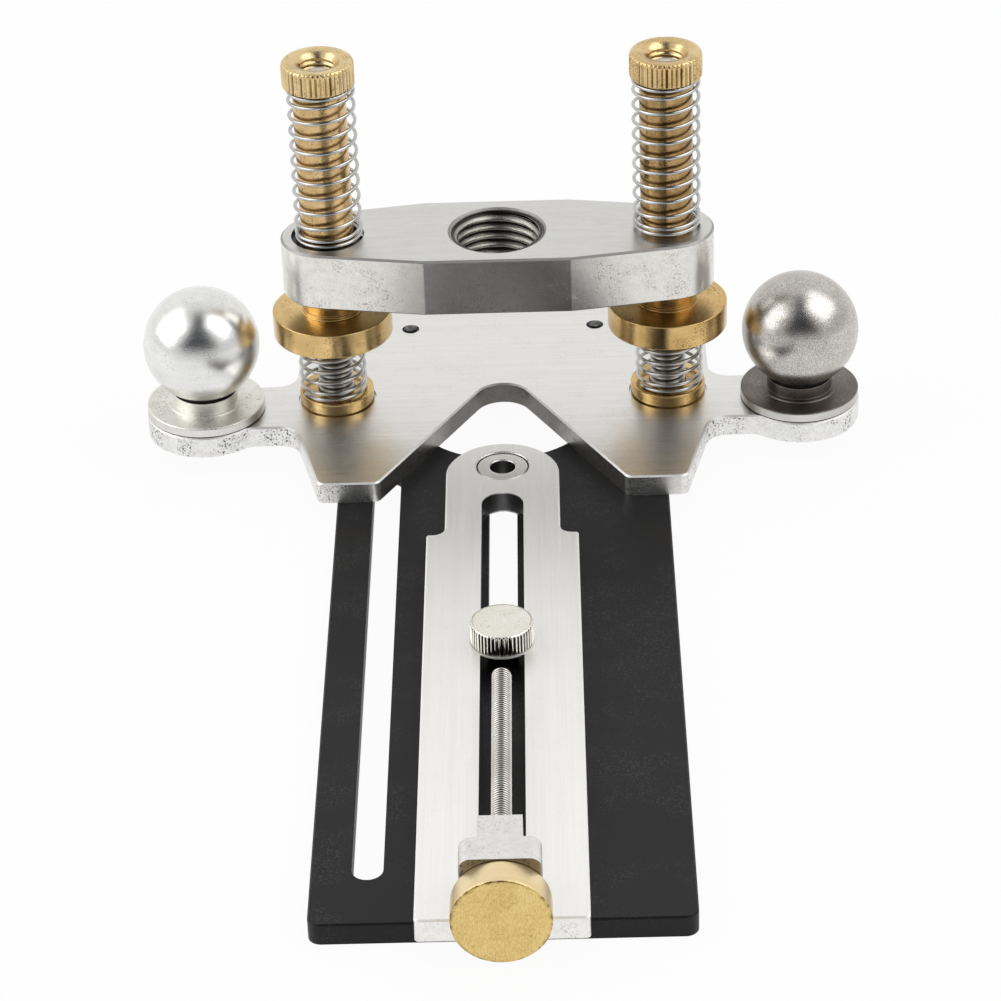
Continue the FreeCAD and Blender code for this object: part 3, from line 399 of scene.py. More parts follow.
# The plate screws' sides take a black oxide and their ends a paler grey one.
screw_finishes = []
for finish_name, dark, light in (("black_oxide", 0.008, 0.02), ("paler_oxide", 0.04, 0.16)):
    oxide, tree, shader = new_finish(finish_name, metallic=0.6)
    place = lay(tree, "TexCoord").outputs["Object"]
    grain = place_effect(tree, grain_effect, Vector=place, Fineness=3000.0, Cloud=900.0)
    patch = ramp(tree, grain["Clouds"], 0.4, 0.6)
    colour = mixed(tree, patch, (dark, dark, dark, 1), (light, light, light, 1))
    rough = ramp(tree, grain["Grain"], 0.0, 1.0, 0.25, 0.5)
    feed(tree, shader, {"Base Color": colour, "Roughness": rough})
    screw_finishes.append(oxide)

PLATE_SCREW_X = {"left": -21.1, "right": 21.1}
PLATE_SCREW_Y = BIT_Y + 30.4
PLATE_SCREW_END = 9.71
sides = eased([(0, 0.0), (4.0, 0.0), (1.9, 2.1), (1.9, 9.05), (1.45, 9.2), (1.4, 9.62),
               (0.0, PLATE_SCREW_END)], [0, 0.05, 0.1, 0.15, 0.05, 0.2, 0])
end_rows = (sides[:, 1] > PLATE_SCREW_END - 0.2).astype(int)
for side, x in PLATE_SCREW_X.items():
    skin(side + "_plate_screw", turned(sides, (x, PLATE_SCREW_Y), around=40), screw_finishes, "base",
         ["plate_screws"], zones=end_rows)


# The ball grips are turned in one with their flanges and screwed to the ears from below. The left one
# is polished, with cloudy buffing marks, and the right one is bead blasted to a warm grey.

EAR_X = 65.6
EAR_Y = BIT_Y - 3.2
BASE_TOP = 9.26
FLANGE_TOP = BASE_TOP + 2.25
FLANGE_RADIUS = 12.95
BALL_LEVEL = 25.76
BALL_RADIUS = 12.7
NECK_RADIUS = 7.1
UNDERCUT_RADIUS = 6.6


def about_axis(tree, place):
    """The parts X, Y and Z of a place, and its distance to the Z axis."""
    parts = lay(tree, "SeparateXYZ", {0: place}).outputs
    flat = lay(tree, "CombineXYZ", {0: parts["X"], 1: parts["Y"]}).outputs[0]
    return parts, lay(tree, "VectorMath", {0: flat}, operation="LENGTH").outputs["Value"]


# Turning marks: fine rings about the axis, read from the distance to it and the level along it.
turning_effect, given, result = new_effect(
    "turning_marks", [("Vector", "Vector", None), ("Fineness", "Float", 3000.0)], [("Rings", "Float")])
parts, from_axis = about_axis(turning_effect, given["Vector"])
angle = maths(turning_effect, "ARCTAN2", parts["Y"], parts["X"])
across = maths(turning_effect, "MULTIPLY", from_axis, given["Fineness"])
along = maths(turning_effect, "MULTIPLY", parts["Z"], given["Fineness"])
slow = maths(turning_effect, "MULTIPLY", angle, 0.5)
spot = lay(turning_effect, "CombineXYZ", {0: across, 1: along, 2: slow}).outputs[0]
rings = noise(turning_effect, spot, 1.0, 2.0)
turning_effect.links.new(rings, result["Rings"])

# Grooves: a mask that grows from 0 where the distance to the axis is Flush to 1 where it is Deep,
# within GROOVE_REACH of Deep and below the level Top.
GROOVE_REACH = 0.0006
groove_effect, given, result = new_effect(
    "grooves", [("Vector", "Vector", None), ("Flush", "Float", 1.0), ("Deep", "Float", 0.9),
                ("Top", "Float", 1.0)], [("Depth", "Float")])
parts, from_axis = about_axis(groove_effect, given["Vector"])
cut = ramp(groove_effect, from_axis, given["Flush"], given["Deep"])
past = maths(groove_effect, "SUBTRACT", from_axis, given["Deep"])
past = maths(groove_effect, "ABSOLUTE", past)
close = maths(groove_effect, "LESS_THAN", past, GROOVE_REACH)
below = maths(groove_effect, "LESS_THAN", parts["Z"], given["Top"])
cut = maths(groove_effect, "MULTIPLY", cut, close)
cut = maths(groove_effect, "MULTIPLY", cut, below)
groove_effect.links.new(cut, result["Depth"])


def turned_metal(name, middle, light, dark, roughness, fineness=3000.0, mark=0.2, speck=0.0, cloud=60.0,
                 speck_colour=(0.12, 0.07, 0.025, 1), lying=False, groove=None, sand=0.0, metallic=1.0):
    """Turned metal: rings about the axis at middle (mm), tone that clouds from dark to light, and specks.
    groove (flush and deep radius, top level in mm, colour) darkens the bottom of threads and knurls with
    painted shade, and sand is the share of fine grain in the tone, with a bump of its own."""
    finish, tree, shader = new_finish(name, metallic=metallic)
    place = lay(tree, "TexCoord").outputs["Object"]
    shift = [-value * TO_METRES for value in middle]
    centred = lay(tree, "Mapping", {"Vector": place, "Location": shift}).outputs[0]
    if lying:
        centred = lay(tree, "Mapping", {"Vector": centred, "Rotation": (math.radians(90), 0, 0)}).outputs[0]
    rings = place_effect(tree, turning_effect, Vector=centred, Fineness=fineness)["Rings"]
    grain = place_effect(tree, grain_effect, Vector=place, Fineness=3800.0, Cloud=cloud)
    rings = ramp(tree, rings, 0.3, 0.7)
    clouds = ramp(tree, grain["Clouds"], 0.35, 0.65)
    sandy = ramp(tree, grain["Grain"], 0.3, 0.7)
    tone = between(tree, 0.3, clouds, rings)
    tone = between(tree, sand, tone, sandy)
    colour = mixed(tree, tone, dark, light)
    if speck > 0:
        pits = place_effect(tree, pit_effect, Vector=place, Fineness=3000.0, Patches=260.0)["Pits"]
        pits = maths(tree, "MULTIPLY", pits, speck)
        colour = mixed(tree, pits, colour, speck_colour)
    # Painted shade: the colour darkens towards the bottom of threads and knurls.
    if groove is not None:
        limits = {"Vector": centred, "Flush": groove[0] * TO_METRES, "Deep": groove[1] * TO_METRES,
                  "Top": groove[2] * TO_METRES}
        depth = place_effect(tree, groove_effect, **limits)["Depth"]
        colour = mixed(tree, depth, colour, groove[3])
    rough = ramp(tree, tone, 0.0, 1.0, roughness * 1.3, roughness * 0.8)
    bump = bumped(tree, rings, mark, 0.00002)
    if sand > 0:
        bump = bumped(tree, sandy, min(sand, 0.2), 0.00006, Normal=bump)
    feed(tree, shader, {"Base Color": colour, "Roughness": rough, "Normal": bump})
    return finish


def grip_grid(x):
    """Profile of a grip from its sole up: flange, low step, straight neck with an undercut, then a ball,
    r^2 + (h - level)^2 = R^2. The rows' finishes are 0 below, 1 on the ball, 2 in the undercut and the
    flange's lower edge, which take near-black painted shade, and 3 on the flange's bare side."""
    meet = BALL_LEVEL - math.sqrt(BALL_RADIUS ** 2 - UNDERCUT_RADIUS ** 2)
    foot = eased([(0, BASE_TOP), (FLANGE_RADIUS, BASE_TOP), (FLANGE_RADIUS, FLANGE_TOP), (8.3, FLANGE_TOP),
                  (8.15, FLANGE_TOP + 0.28), (NECK_RADIUS, FLANGE_TOP + 0.28), (NECK_RADIUS, meet - 0.5),
                  (UNDERCUT_RADIUS, meet - 0.45), (UNDERCUT_RADIUS, meet)],
                 [0, 0.3, 0.35, 0.1, 0.1, 0.15, 0.12, 0.05, 0])
    swing = np.linspace(math.asin((meet - BALL_LEVEL) / BALL_RADIUS), math.pi / 2, 60)[1:]
    ball = np.stack([BALL_RADIUS * np.cos(swing), BALL_LEVEL + BALL_RADIUS * np.sin(swing)], axis=1)
    profile = np.concatenate([foot, ball])
    radius, level = profile.T
    undercut = (level > meet - 0.5) & (level < meet + 0.05) & (radius < NECK_RADIUS - 0.1)
    sole_edge = (level < BASE_TOP + 0.28) & (radius > FLANGE_RADIUS - 1)
    side_edge = (level < FLANGE_TOP - 0.3) & (radius > FLANGE_RADIUS - 0.05)
    rows = np.where(undercut | sole_edge, 2, np.where(side_edge, 3, level > meet - 0.01)).astype(int)
    return turned(profile, (x, EAR_Y), around=128), rows


polished = turned_metal(
    "polished_grip", (-EAR_X, EAR_Y, BALL_LEVEL), (0.89, 0.885, 0.865, 1), (0.73, 0.727, 0.715, 1), 0.22,
    fineness=900.0, mark=0.12, speck=0.4, cloud=110.0, speck_colour=(0.35, 0.35, 0.34, 1), sand=0.2)
left_flange = turned_metal(
    "left_flange_metal", (-EAR_X, EAR_Y, BALL_LEVEL), (0.92, 0.91, 0.86, 1), (0.70, 0.69, 0.63, 1), 0.42,
    fineness=2200.0, mark=0.3, speck=0.7, speck_colour=(0.25, 0.24, 0.2, 1), sand=0.25)
# The blasted grip's pale specks are painted glints, standing in for the sparkle of its blasted skin.
blasted = turned_metal(
    "blasted_grip", (EAR_X, EAR_Y, BALL_LEVEL), (0.78, 0.75, 0.71, 1), (0.24, 0.225, 0.21, 1), 0.24,
    fineness=900.0, mark=0.05, speck=0.4, cloud=90.0, speck_colour=(0.85, 0.82, 0.78, 1), sand=0.7)
right_flange = turned_metal(
    "right_flange_metal", (EAR_X, EAR_Y, BALL_LEVEL), (0.235, 0.21, 0.19, 1), (0.13, 0.115, 0.105, 1),
    0.36, fineness=2600.0, mark=0.35, speck=0.4, speck_colour=(0.5, 0.47, 0.44, 1), sand=0.2)
bare_edge = turned_metal(
    "bare_flange_edge", (EAR_X, EAR_Y, BALL_LEVEL), (0.80, 0.79, 0.76, 1), (0.50, 0.49, 0.47, 1), 0.3,
    fineness=5000.0, mark=0.5)
# Painted shade: near black for the undercut under the ball and the flange's lower edge.
gap_shade = turned_metal("painted_gap_shade", (0, 0, 0), (0.06, 0.055, 0.05, 1), (0.03, 0.03, 0.028, 1), 0.6)
for side, x, metal, flange, slot in (("left", -EAR_X, polished, left_flange, "polished_aluminium"),
                                     ("right", EAR_X, blasted, right_flange, "blasted_aluminium")):
    grid, rows = grip_grid(x)
    skin(side + "_grip", grid, [flange, metal, gap_shade, bare_edge], "base",
         [side + "_ball_knob"], zones=rows)

plain_steel = turned_metal("plain_steel", (0, 0, 0), (0.68, 0.67, 0.65, 1), (0.45, 0.44, 0.42, 1), 0.3)
for node in ("knob_screws", "block_screws"):
    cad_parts[node].data.materials.clear()
    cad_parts[node].data.materials.append(plain_steel)


# Two threaded steel studs stand in the base plate and carry the posts. Each has a brass collar at its
# foot, turned with broken edges and pressed into the recess of the plate.

POST_X = {"left": -36.7, "right": 36.7}
GUIDE_TOP = 4.5
SEAT_FLOOR = 8.76
SEAT_TOP = 12.11
COLLAR_RADIUS = 8.2
STUD_RADIUS = 3.95
STUD_ROOT = 3.3
STUD_PITCH = 1.25
STUD_TOP = 88.51


def thread_wave(level, angle, pitch, steep=1.35, flat=0.15):
    """A thread's depth, 0 at the crest and 1 at the root: |2 frac(h / pitch - a / 2 pi) - 1|, made
    steeper, with flats where it is cut off at 0 and 1."""
    wave = np.abs(2 * np.mod(level / pitch - angle / (2 * math.pi), 1) - 1)
    return np.clip(steep * wave - flat, 0, 1)


def thread_relief(root, pitch, low, high):
    """Screw thread between two levels: r falls from crest to root with the thread's depth."""
    def relief(radius, level, angle):
        inside = (level > low) & (level < high) & (radius > root)
        return np.where(inside, radius - (radius - root) * thread_wave(level, angle, pitch), radius)
    return relief


def long_run(radius, low, high, step):
    """Straight stretch of a profile with a point every step, so that a thread can be cut in it."""
    level = np.arange(low, high, step)
    return np.stack([np.full(len(level), radius), level], axis=1)


brass = {}
BRASS_TONES = {"left": ((0.85, 0.615, 0.285, 1), (0.57, 0.385, 0.155, 1)),
               "right": ((0.81, 0.57, 0.245, 1), (0.47, 0.295, 0.105, 1))}
faced_end = turned_metal(
    "faced_stud_end", (0, BIT_Y, 0), (0.95, 0.95, 0.93, 1), (0.8, 0.8, 0.78, 1), 0.5, metallic=0.35)
for side, x in POST_X.items():
    # Painted shade: the roots of the stud's thread go near black.
    stud_steel = turned_metal(
        side + "_stud_steel", (x, BIT_Y, 0), (0.94, 0.94, 0.93, 1), (0.72, 0.715, 0.70, 1), 0.3,
        groove=(3.85, 3.4, STUD_TOP - 0.7, (0.07, 0.065, 0.055, 1)))
    foot = [(0, GUIDE_TOP), (STUD_ROOT, GUIDE_TOP), (3.9, GUIDE_TOP + 0.6)]
    shank = long_run(STUD_RADIUS, GUIDE_TOP + 0.7, STUD_TOP - 0.66, STUD_PITCH / 6)
    nose = eased([(STUD_RADIUS, STUD_TOP - 0.66), (STUD_ROOT, STUD_TOP), (0.8, STUD_TOP),
                  (0.0, STUD_TOP - 0.8)], [0, 0.3, 0.1, 0])
    stud = np.concatenate([foot, shank, nose])
    end_rows = (stud[:, 1] > STUD_TOP - 0.3).astype(int)
    thread = thread_relief(STUD_ROOT, STUD_PITCH, GUIDE_TOP + 0.65, STUD_TOP - 0.36)
    skin(side + "_threaded_stud", turned(stud, (x, BIT_Y), 32, thread), [stud_steel, faced_end], "base",
         [side + "_stud"], zones=end_rows)
    brass[side] = turned_metal(
        side + "_brass", (x, BIT_Y, 0), *BRASS_TONES[side], 0.2, fineness=2600.0, mark=0.22, speck=0.8,
        cloud=110.0, sand=0.15)
    collar = eased([(STUD_RADIUS, SEAT_FLOOR), (COLLAR_RADIUS, SEAT_FLOOR), (COLLAR_RADIUS, SEAT_TOP),
                    (STUD_RADIUS, SEAT_TOP)], [0.1, 0.1, 0.4, 0.3], ring=True)
    skin(side + "_collar", turned(collar, (x, BIT_Y)), [brass[side]], "base",
         [side + "_seat_collar"], ring=True)


# The lower springs stand between the collars and the stop discs and hold the posts firm.
# All four springs are coiled from bright drawn wire, with closed turns at their ends.

DISC_BOTTOM = 26.51
SEAT_GAP = 0.05
CLOSED_TURN_GAP = 0.46
QUARTERS = 4
STEPS_PER_TURN = 56

spring_wire, tree, shader = new_finish("spring_wire", metallic=1.0)
place = lay(tree, "TexCoord").outputs["Object"]
grain = place_effect(tree, grain_effect, Vector=place, Fineness=1800.0, Cloud=350.0)
colour = mixed(tree, grain["Clouds"], (0.34, 0.34, 0.335, 1), (0.70, 0.70, 0.69, 1))
rough = ramp(tree, grain["Grain"], 0.0, 1.0, 0.12, 0.22)
feed(tree, shader, {"Base Color": colour, "Roughness": rough})


def coil_grid(middle, bottom, top, wire, outer_radius, turns, foot_turns, start=0.0, section=12):
    """Coil of round wire: a circle carried along (R cos a, R sin a, h(a)). The climb per turn is set for
    each quarter of a turn and small in the closed turns; each end runs out straight by one wire."""
    radius, seat = outer_radius - wire / 2, SEAT_GAP + wire / 2
    closed = wire + CLOSED_TURN_GAP
    open_turns = turns - foot_turns - 1
    open_pitch = (top - bottom - 2 * seat - (foot_turns + 1) * closed) / open_turns
    pitch = np.array([closed] * (QUARTERS * foot_turns) + [open_pitch] * (QUARTERS * open_turns)
                     + [closed] * QUARTERS)
    station = np.arange(len(pitch) + 1) / QUARTERS
    climb = np.append(pitch[:1], np.append((pitch[1:] + pitch[:-1]) / 2, pitch[-1:]))
    turn = np.linspace(0, turns, turns * STEPS_PER_TURN + 1)
    slope = np.interp(turn, station, climb)
    level = np.concatenate([[0], np.cumsum((slope[1:] + slope[:-1]) / 2 * np.diff(turn))])
    level = bottom + seat + level * (top - bottom - 2 * seat) / level[-1]
    angle = start + 2 * math.pi * turn
    out = np.stack([np.cos(angle), np.sin(angle), np.zeros_like(angle)], axis=1)
    path = radius * out + level[:, None] * (0, 0, 1)
    heading = np.gradient(path, axis=0)
    heading /= np.linalg.norm(heading, axis=1, keepdims=True)
    path = np.concatenate([path[:1] - heading[:1] * wire, path, path[-1:] + heading[-1:] * wire])
    out = np.concatenate([out[:1], out, out[-1:]])
    heading = np.concatenate([heading[:1], heading, heading[-1:]])
    side = np.cross(heading, out)
    round_angle = np.linspace(0, 2 * math.pi, section, endpoint=False)[None, :, None]
    ring = out[:, None, :] * np.cos(round_angle) + side[:, None, :] * np.sin(round_angle)
    grid = path[:, None, :] + ring * wire / 2
    first = np.repeat(path[:1, None, :], section, axis=1)
    last = np.repeat(path[-1:, None, :], section, axis=1)
    rims = grid[:1] * 0.4 + first * 0.6, grid[-1:] * 0.4 + last * 0.6
    return np.concatenate([first, rims[0], grid, rims[1], last]) + (*middle, 0.0)


LOWER_SPRING_SHIFT = {"left": -0.6, "right": 0.35}
for side, x in POST_X.items():
    grid = coil_grid((x + LOWER_SPRING_SHIFT[side], BIT_Y), SEAT_TOP, DISC_BOTTOM, wire=0.85,
                     outer_radius=7.45, turns=6, foot_turns=1, start=math.radians(216))
    spring = skin(side + "_coil_below", grid, [spring_wire], "base",
                  [side + "_lower_spring"])
    spring.parent = None
    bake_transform(spring)


# Each post is a brass tube that screws down on its stud. A turned stop disc at its foot carries the
# tool head on its boss, and a knurled cap with a chamfered mouth closes its top.

DISC_TOP = 32.21
DISC_RADIUS = 13.05
STEP_TOP = DISC_TOP + 0.9
STEP_RADIUS = 6.5
BOSS_RADIUS = 6.05
HEAD_BOTTOM = 37.26
CAP_BOTTOM = 86.26
CAP_TOP = 91.61
CAP_RADIUS = 7.75
CAP_MOUTH = 5.1
CAP_GROOVES = 44
COLUMNS_PER_GROOVE = 10
TUBE_RADIUS = 5.7
STUD_HOLE = 4.04


def knurl_relief(outer, grooves, depth, low, seed):
    """Straight knurl above a level: r is at most outer - depth g(a), where g peaks in each groove, and
    every groove has its own depth and lean."""
    chance = np.random.default_rng(seed)
    deeper = 0.65 + 0.7 * chance.random(grooves)
    shifted = 0.12 * (chance.random(grooves) - 0.5)

    def relief(radius, level, angle):
        count = angle * grooves / (2 * math.pi) + 0.5
        which = np.floor(count).astype(int) % grooves
        from_middle = np.abs(np.mod(count, 1) - 0.5 + shifted[which])
        cut = np.clip(1.08 - from_middle / 0.34, 0, 1)
        limit = outer - depth * deeper[which] * cut
        return np.where((level > low) & (radius > outer - 3 * depth), np.minimum(radius, limit), radius)
    return relief


TUBE_TONES = {"left": ((0.78, 0.56, 0.29, 1), (0.48, 0.32, 0.14, 1)),
              "right": ((0.56, 0.38, 0.175, 1), (0.24, 0.145, 0.055, 1))}
CAP_TONES = {"left": ((0.87, 0.69, 0.40, 1), (0.64, 0.47, 0.22, 1)),
             "right": ((0.84, 0.64, 0.34, 1), (0.58, 0.40, 0.17, 1))}

for number, (side, x) in enumerate(POST_X.items()):
    body = side + "_post"
    disc = eased([(TUBE_RADIUS, DISC_BOTTOM), (DISC_RADIUS, DISC_BOTTOM), (DISC_RADIUS, DISC_TOP),
                  (STEP_RADIUS, DISC_TOP), (STEP_RADIUS, STEP_TOP), (BOSS_RADIUS, STEP_TOP),
                  (BOSS_RADIUS, HEAD_BOTTOM), (TUBE_RADIUS, HEAD_BOTTOM)],
                 [0.1, 0.3, 0.22, 0.25, 0.15, 0.1, 0.1, 0.1], ring=True)
    skin(side + "_disc", turned(disc, (x, BIT_Y), 144), [brass[side]], body,
         [side + "_stop_disc"], ring=True)
    tube_brass = turned_metal(
        side + "_tube_brass", (x, BIT_Y, 0), *TUBE_TONES[side], 0.19, fineness=1500.0, mark=0.2,
        speck=0.9, cloud=240.0, sand=0.12)
    tube = eased([(STUD_HOLE, DISC_BOTTOM), (TUBE_RADIUS, DISC_BOTTOM), (TUBE_RADIUS, CAP_BOTTOM),
                  (STUD_HOLE, CAP_BOTTOM)], 0.1, ring=True)
    skin(side + "_tube", turned(tube, (x, BIT_Y)), [tube_brass], body, [side + "_post_tube"],
         ring=True)
    rim = eased([(STUD_HOLE, CAP_BOTTOM), (CAP_RADIUS, CAP_BOTTOM), (CAP_RADIUS, CAP_TOP),
                 (CAP_MOUTH, CAP_TOP)], [0, 0.35, 1.5, 0.15], steps=9)
    wall = long_run(CAP_RADIUS, CAP_BOTTOM + 0.6, CAP_TOP - 1.8, 0.25)
    split = np.argmax(rim[:, 1] > CAP_BOTTOM + 0.7)
    mouth = [(CAP_MOUTH, CAP_TOP), (4.6, CAP_TOP - 0.5), (STUD_HOLE, CAP_TOP - 1.06)]
    bore = long_run(STUD_HOLE, CAP_BOTTOM, CAP_TOP - 1.1, STUD_PITCH / 8)[::-1]
    profile = np.concatenate([rim[:split], wall, rim[split:-1], mouth, bore])
    grooves = knurl_relief(CAP_RADIUS, CAP_GROOVES, depth=0.42, low=CAP_BOTTOM - 1, seed=5 + number)

    def cap_relief(radius, level, angle):
        """Knurl outside; inside a thread that fits the stud's: r comes in where the stud's root is."""
        inside = (radius < STUD_HOLE + 0.01) & (level > CAP_BOTTOM + 0.6)
        inner = np.where(inside, radius - 0.5 * thread_wave(level, angle, STUD_PITCH), radius)
        return grooves(inner, level, angle)

    # Painted shade: the cap's knurl grooves go dark brown at their bottoms.
    cap_brass = turned_metal(
        side + "_cap_brass", (x, BIT_Y, 0), *CAP_TONES[side], 0.22, fineness=2600.0, mark=0.22,
        speck=0.8, cloud=160.0, sand=0.15, groove=(7.55, 7.25, CAP_TOP - 1.1, (0.09, 0.05, 0.015, 1)))
    skin(side + "_cap", turned(profile, (x, BIT_Y), CAP_GROOVES * COLUMNS_PER_GROOVE, cap_relief),
         [cap_brass], body, [side + "_knurled_cap"], ring=True)


# The upper springs push the tool head down on the discs. The left one sits in a shallow pocket of the
# head and the right one on its face; both are longer and lighter than the lower ones.

HEAD_TOP = 50.26
POCKET_DEPTH = 0.9

for side, x in POST_X.items():
    foot = HEAD_TOP - (POCKET_DEPTH if side == "left" else 0)
    shift = 0.35 if side == "left" else 0.0
    grid = coil_grid((x + shift, BIT_Y), foot, CAP_BOTTOM, wire=0.8, outer_radius=7.35, turns=12,
                     foot_turns=2)
    spring = skin(side + "_coil_above", grid, [spring_wire], "carriage",
                  [side + "_upper_spring"])
    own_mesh(spring)


# The tool head is an aluminium bar with slanted sides and round ends, brushed along its top. The nose
# of the rotary tool screws into its middle, so that bore carries a coarse thread below a chamfer.

HEAD_BEND = 15.9
# Painted shade on the tool head: near black in the left spring's pocket, and a dark grey front middle face,
# a painted dark reflection.
spring_pocket_shade = [((POST_X["left"], BIT_Y, 49.55), half, (0.05, 0.05, 0.048, 1), 0.3)
                 for half in ((8.2, 5.2, 0.5), (5.2, 8.2, 0.5))]
middle_face_shade = ((0, BIT_Y, 43.5), (HEAD_BEND, 20, 8), (0.36, 0.353, 0.343, 1), 0.3)
head_aluminium = brushed_aluminium(
    "brushed_head", (240, 3000, 3000), (0.70, 0.695, 0.675, 1), (0.63, 0.625, 0.605, 1), 0.45,
    [middle_face_shade], (0.80, 0.787, 0.745, 1), 0.28, uneven=0.6, edge_tone=0.55, sunk_shade_zones=spring_pocket_shade)
even_copy("head_yoke", "brushed_tool_head", "tool_head", head_aluminium)

NOSE_ROOT = 9.5
NOSE_CREST = 8.6
NOSE_PITCH = 2.117
NOSE_FOOT = HEAD_BOTTOM + 0.2

# Painted shade inside the bore: the nose thread takes dark tones, and its roots go near black.
nose_metal = turned_metal(
    "nose_thread_metal", (0, BIT_Y, 0), (0.50, 0.49, 0.45, 1), (0.27, 0.26, 0.235, 1), 0.27, speck=0.8,
    sand=0.3, groove=(9.0, 9.45, HEAD_TOP - 0.45, (0.03, 0.028, 0.024, 1)))
inner = long_run(NOSE_ROOT - 0.02, NOSE_FOOT, HEAD_TOP - 0.42, NOSE_PITCH / 10)
outer = long_run(NOSE_ROOT + 0.15, NOSE_FOOT, HEAD_TOP - 1.2, NOSE_PITCH)[::-1]
lip = [(NOSE_ROOT + 0.85, HEAD_TOP - 0.4), (NOSE_ROOT + 0.15, HEAD_TOP - 1.15)]


def nose_relief(radius, level, angle):
    """Inside thread: r falls from root to crest with the thread's depth, which fades out at the foot of
    the bore; at the mouth r follows the chamfer, where it grows with the level."""
    wave = thread_wave(level, angle, NOSE_PITCH, steep=1.5, flat=0.25)
    fade = np.clip((level - NOSE_FOOT) / 0.8, 0, 1)
    flare = np.clip(level - (HEAD_TOP - 1.2), 0, 1)
    cut = (NOSE_ROOT - NOSE_CREST) * (1 - wave) * fade
    return np.where(radius < NOSE_ROOT, radius + flare * 0.9 - cut, radius)


nose = turned(np.concatenate([inner, lip, outer]), (0, BIT_Y), 120, nose_relief)
skin("nose_thread", nose, [nose_metal], "tool_head", [], ring=True)


# The slide bar runs on the guide plate and sets the circle's radius. It is brushed along its length,
# and a turned steel bush for the pivot pin is pressed into its round end.

# Painted shade: the walls of the bar's slot go dark grey.
bar_slot_shade = ((0, -37.0, BASE_MIDDLE), (4.7, 71.0, 2.3), (0.13, 0.13, 0.13, 1), 0.3)
bar_aluminium = brushed_aluminium(
    "brushed_bar", (3600, 30, 3600), (0.98, 0.975, 0.96, 1), (0.915, 0.91, 0.89, 1), 0.4, [bar_slot_shade],
    (0.90, 0.89, 0.865, 1), 0.4, uneven=0.5, top_rough=(0.52, 0.42))
even_copy("slide_bar", "brushed_slide_bar", "bar", bar_aluminium)

PIVOT_Y = BIT_Y - 30.6
PIVOT_BORE = 2.73
BUSH_RADIUS = 5.7
BUSH_TOP = 8.96
# Painted shade: the bush's outer chamfer and wall go near black for the gap round it, and the pivot bore's
# wall is painted nearly black.
bush_steel = turned_metal(
    "bush_steel", (0, PIVOT_Y, 0), (0.88, 0.87, 0.84, 1), (0.70, 0.69, 0.66, 1), 0.25, fineness=2400.0,
    mark=0.3, groove=(5.25, 5.5, 20.0, (0.02, 0.02, 0.018, 1)))
bore_steel = turned_metal(
    "bore_steel", (0, PIVOT_Y, 0), (0.12, 0.12, 0.115, 1), (0.05, 0.05, 0.045, 1), 0.4)
bush = eased([(PIVOT_BORE, GUIDE_TOP), (BUSH_RADIUS, GUIDE_TOP), (BUSH_RADIUS, BUSH_TOP - 0.46),
              (BUSH_RADIUS - 0.4, BUSH_TOP), (PIVOT_BORE, BUSH_TOP)], [0.1, 0.1, 0.15, 0.1, 0.3], ring=True)
bush_rows = ((bush[:, 0] < PIVOT_BORE + 0.01) & (bush[:, 1] < BUSH_TOP - 0.26)).astype(int)
skin("turned_pivot_bush", turned(bush, (0, PIVOT_Y), 96), [bush_steel, bore_steel], "bar",
     ["pivot_bush"], ring=True, zones=bush_rows)


# The adjuster block is screwed to the bar's front end. A threaded rod runs through it to the lock
# screw, and its turned brass knob has a face with straight polishing marks.

# Painted shade and a painted reflection: the block's front face goes brown, for the brass knob that it
# reflects and the shade it lies in.
block_front_shade = ((0, -111.15, 16.0), (8.5, 0.35, 8), (0.30, 0.25, 0.19, 1), 0.3)
block_aluminium = brushed_aluminium(
    "brushed_block", (900, 900, 900), (0.84, 0.83, 0.81, 1), (0.73, 0.72, 0.70, 1), 2.2, [block_front_shade],
    (0.84, 0.83, 0.81, 1), 0.34)
even_copy("adjuster_block", "brushed_adjuster_block", "bar", block_aluminium)

ROD_LEVEL = 13.31
ROD_FRONT = BIT_Y - 191.0
ROD_TIP = BIT_Y - 115.0
ROD_RADIUS = 1.95
ROD_ROOT = 1.5
ROD_PITCH = 0.7
NO_TOP = 1000.0

# Painted shade: the roots of the rod's thread go near black.
rod_steel = turned_metal(
    "rod_steel", (0, 0, ROD_LEVEL), (0.90, 0.88, 0.83, 1), (0.62, 0.60, 0.55, 1), 0.28, lying=True,
    groove=(1.88, 1.66, NO_TOP, (0.05, 0.045, 0.035, 1)))
front_end = [(0, ROD_FRONT), (ROD_RADIUS, ROD_FRONT)]
shank = long_run(ROD_RADIUS, ROD_FRONT + 0.1, ROD_TIP - 0.7, ROD_PITCH / 6)
rear_end = eased([(ROD_RADIUS, ROD_TIP - 0.7), (1.35, ROD_TIP), (0, ROD_TIP)], [0, 0.2, 0])
thread = thread_relief(ROD_ROOT, ROD_PITCH, ROD_FRONT + 0.05, ROD_TIP)
rod = turned(np.concatenate([front_end, shank, rear_end]), (0, ROD_LEVEL), 28, thread, lying=True)
skin("threaded_rod", rod, [rod_steel], "rod", ["adjuster_rod"])

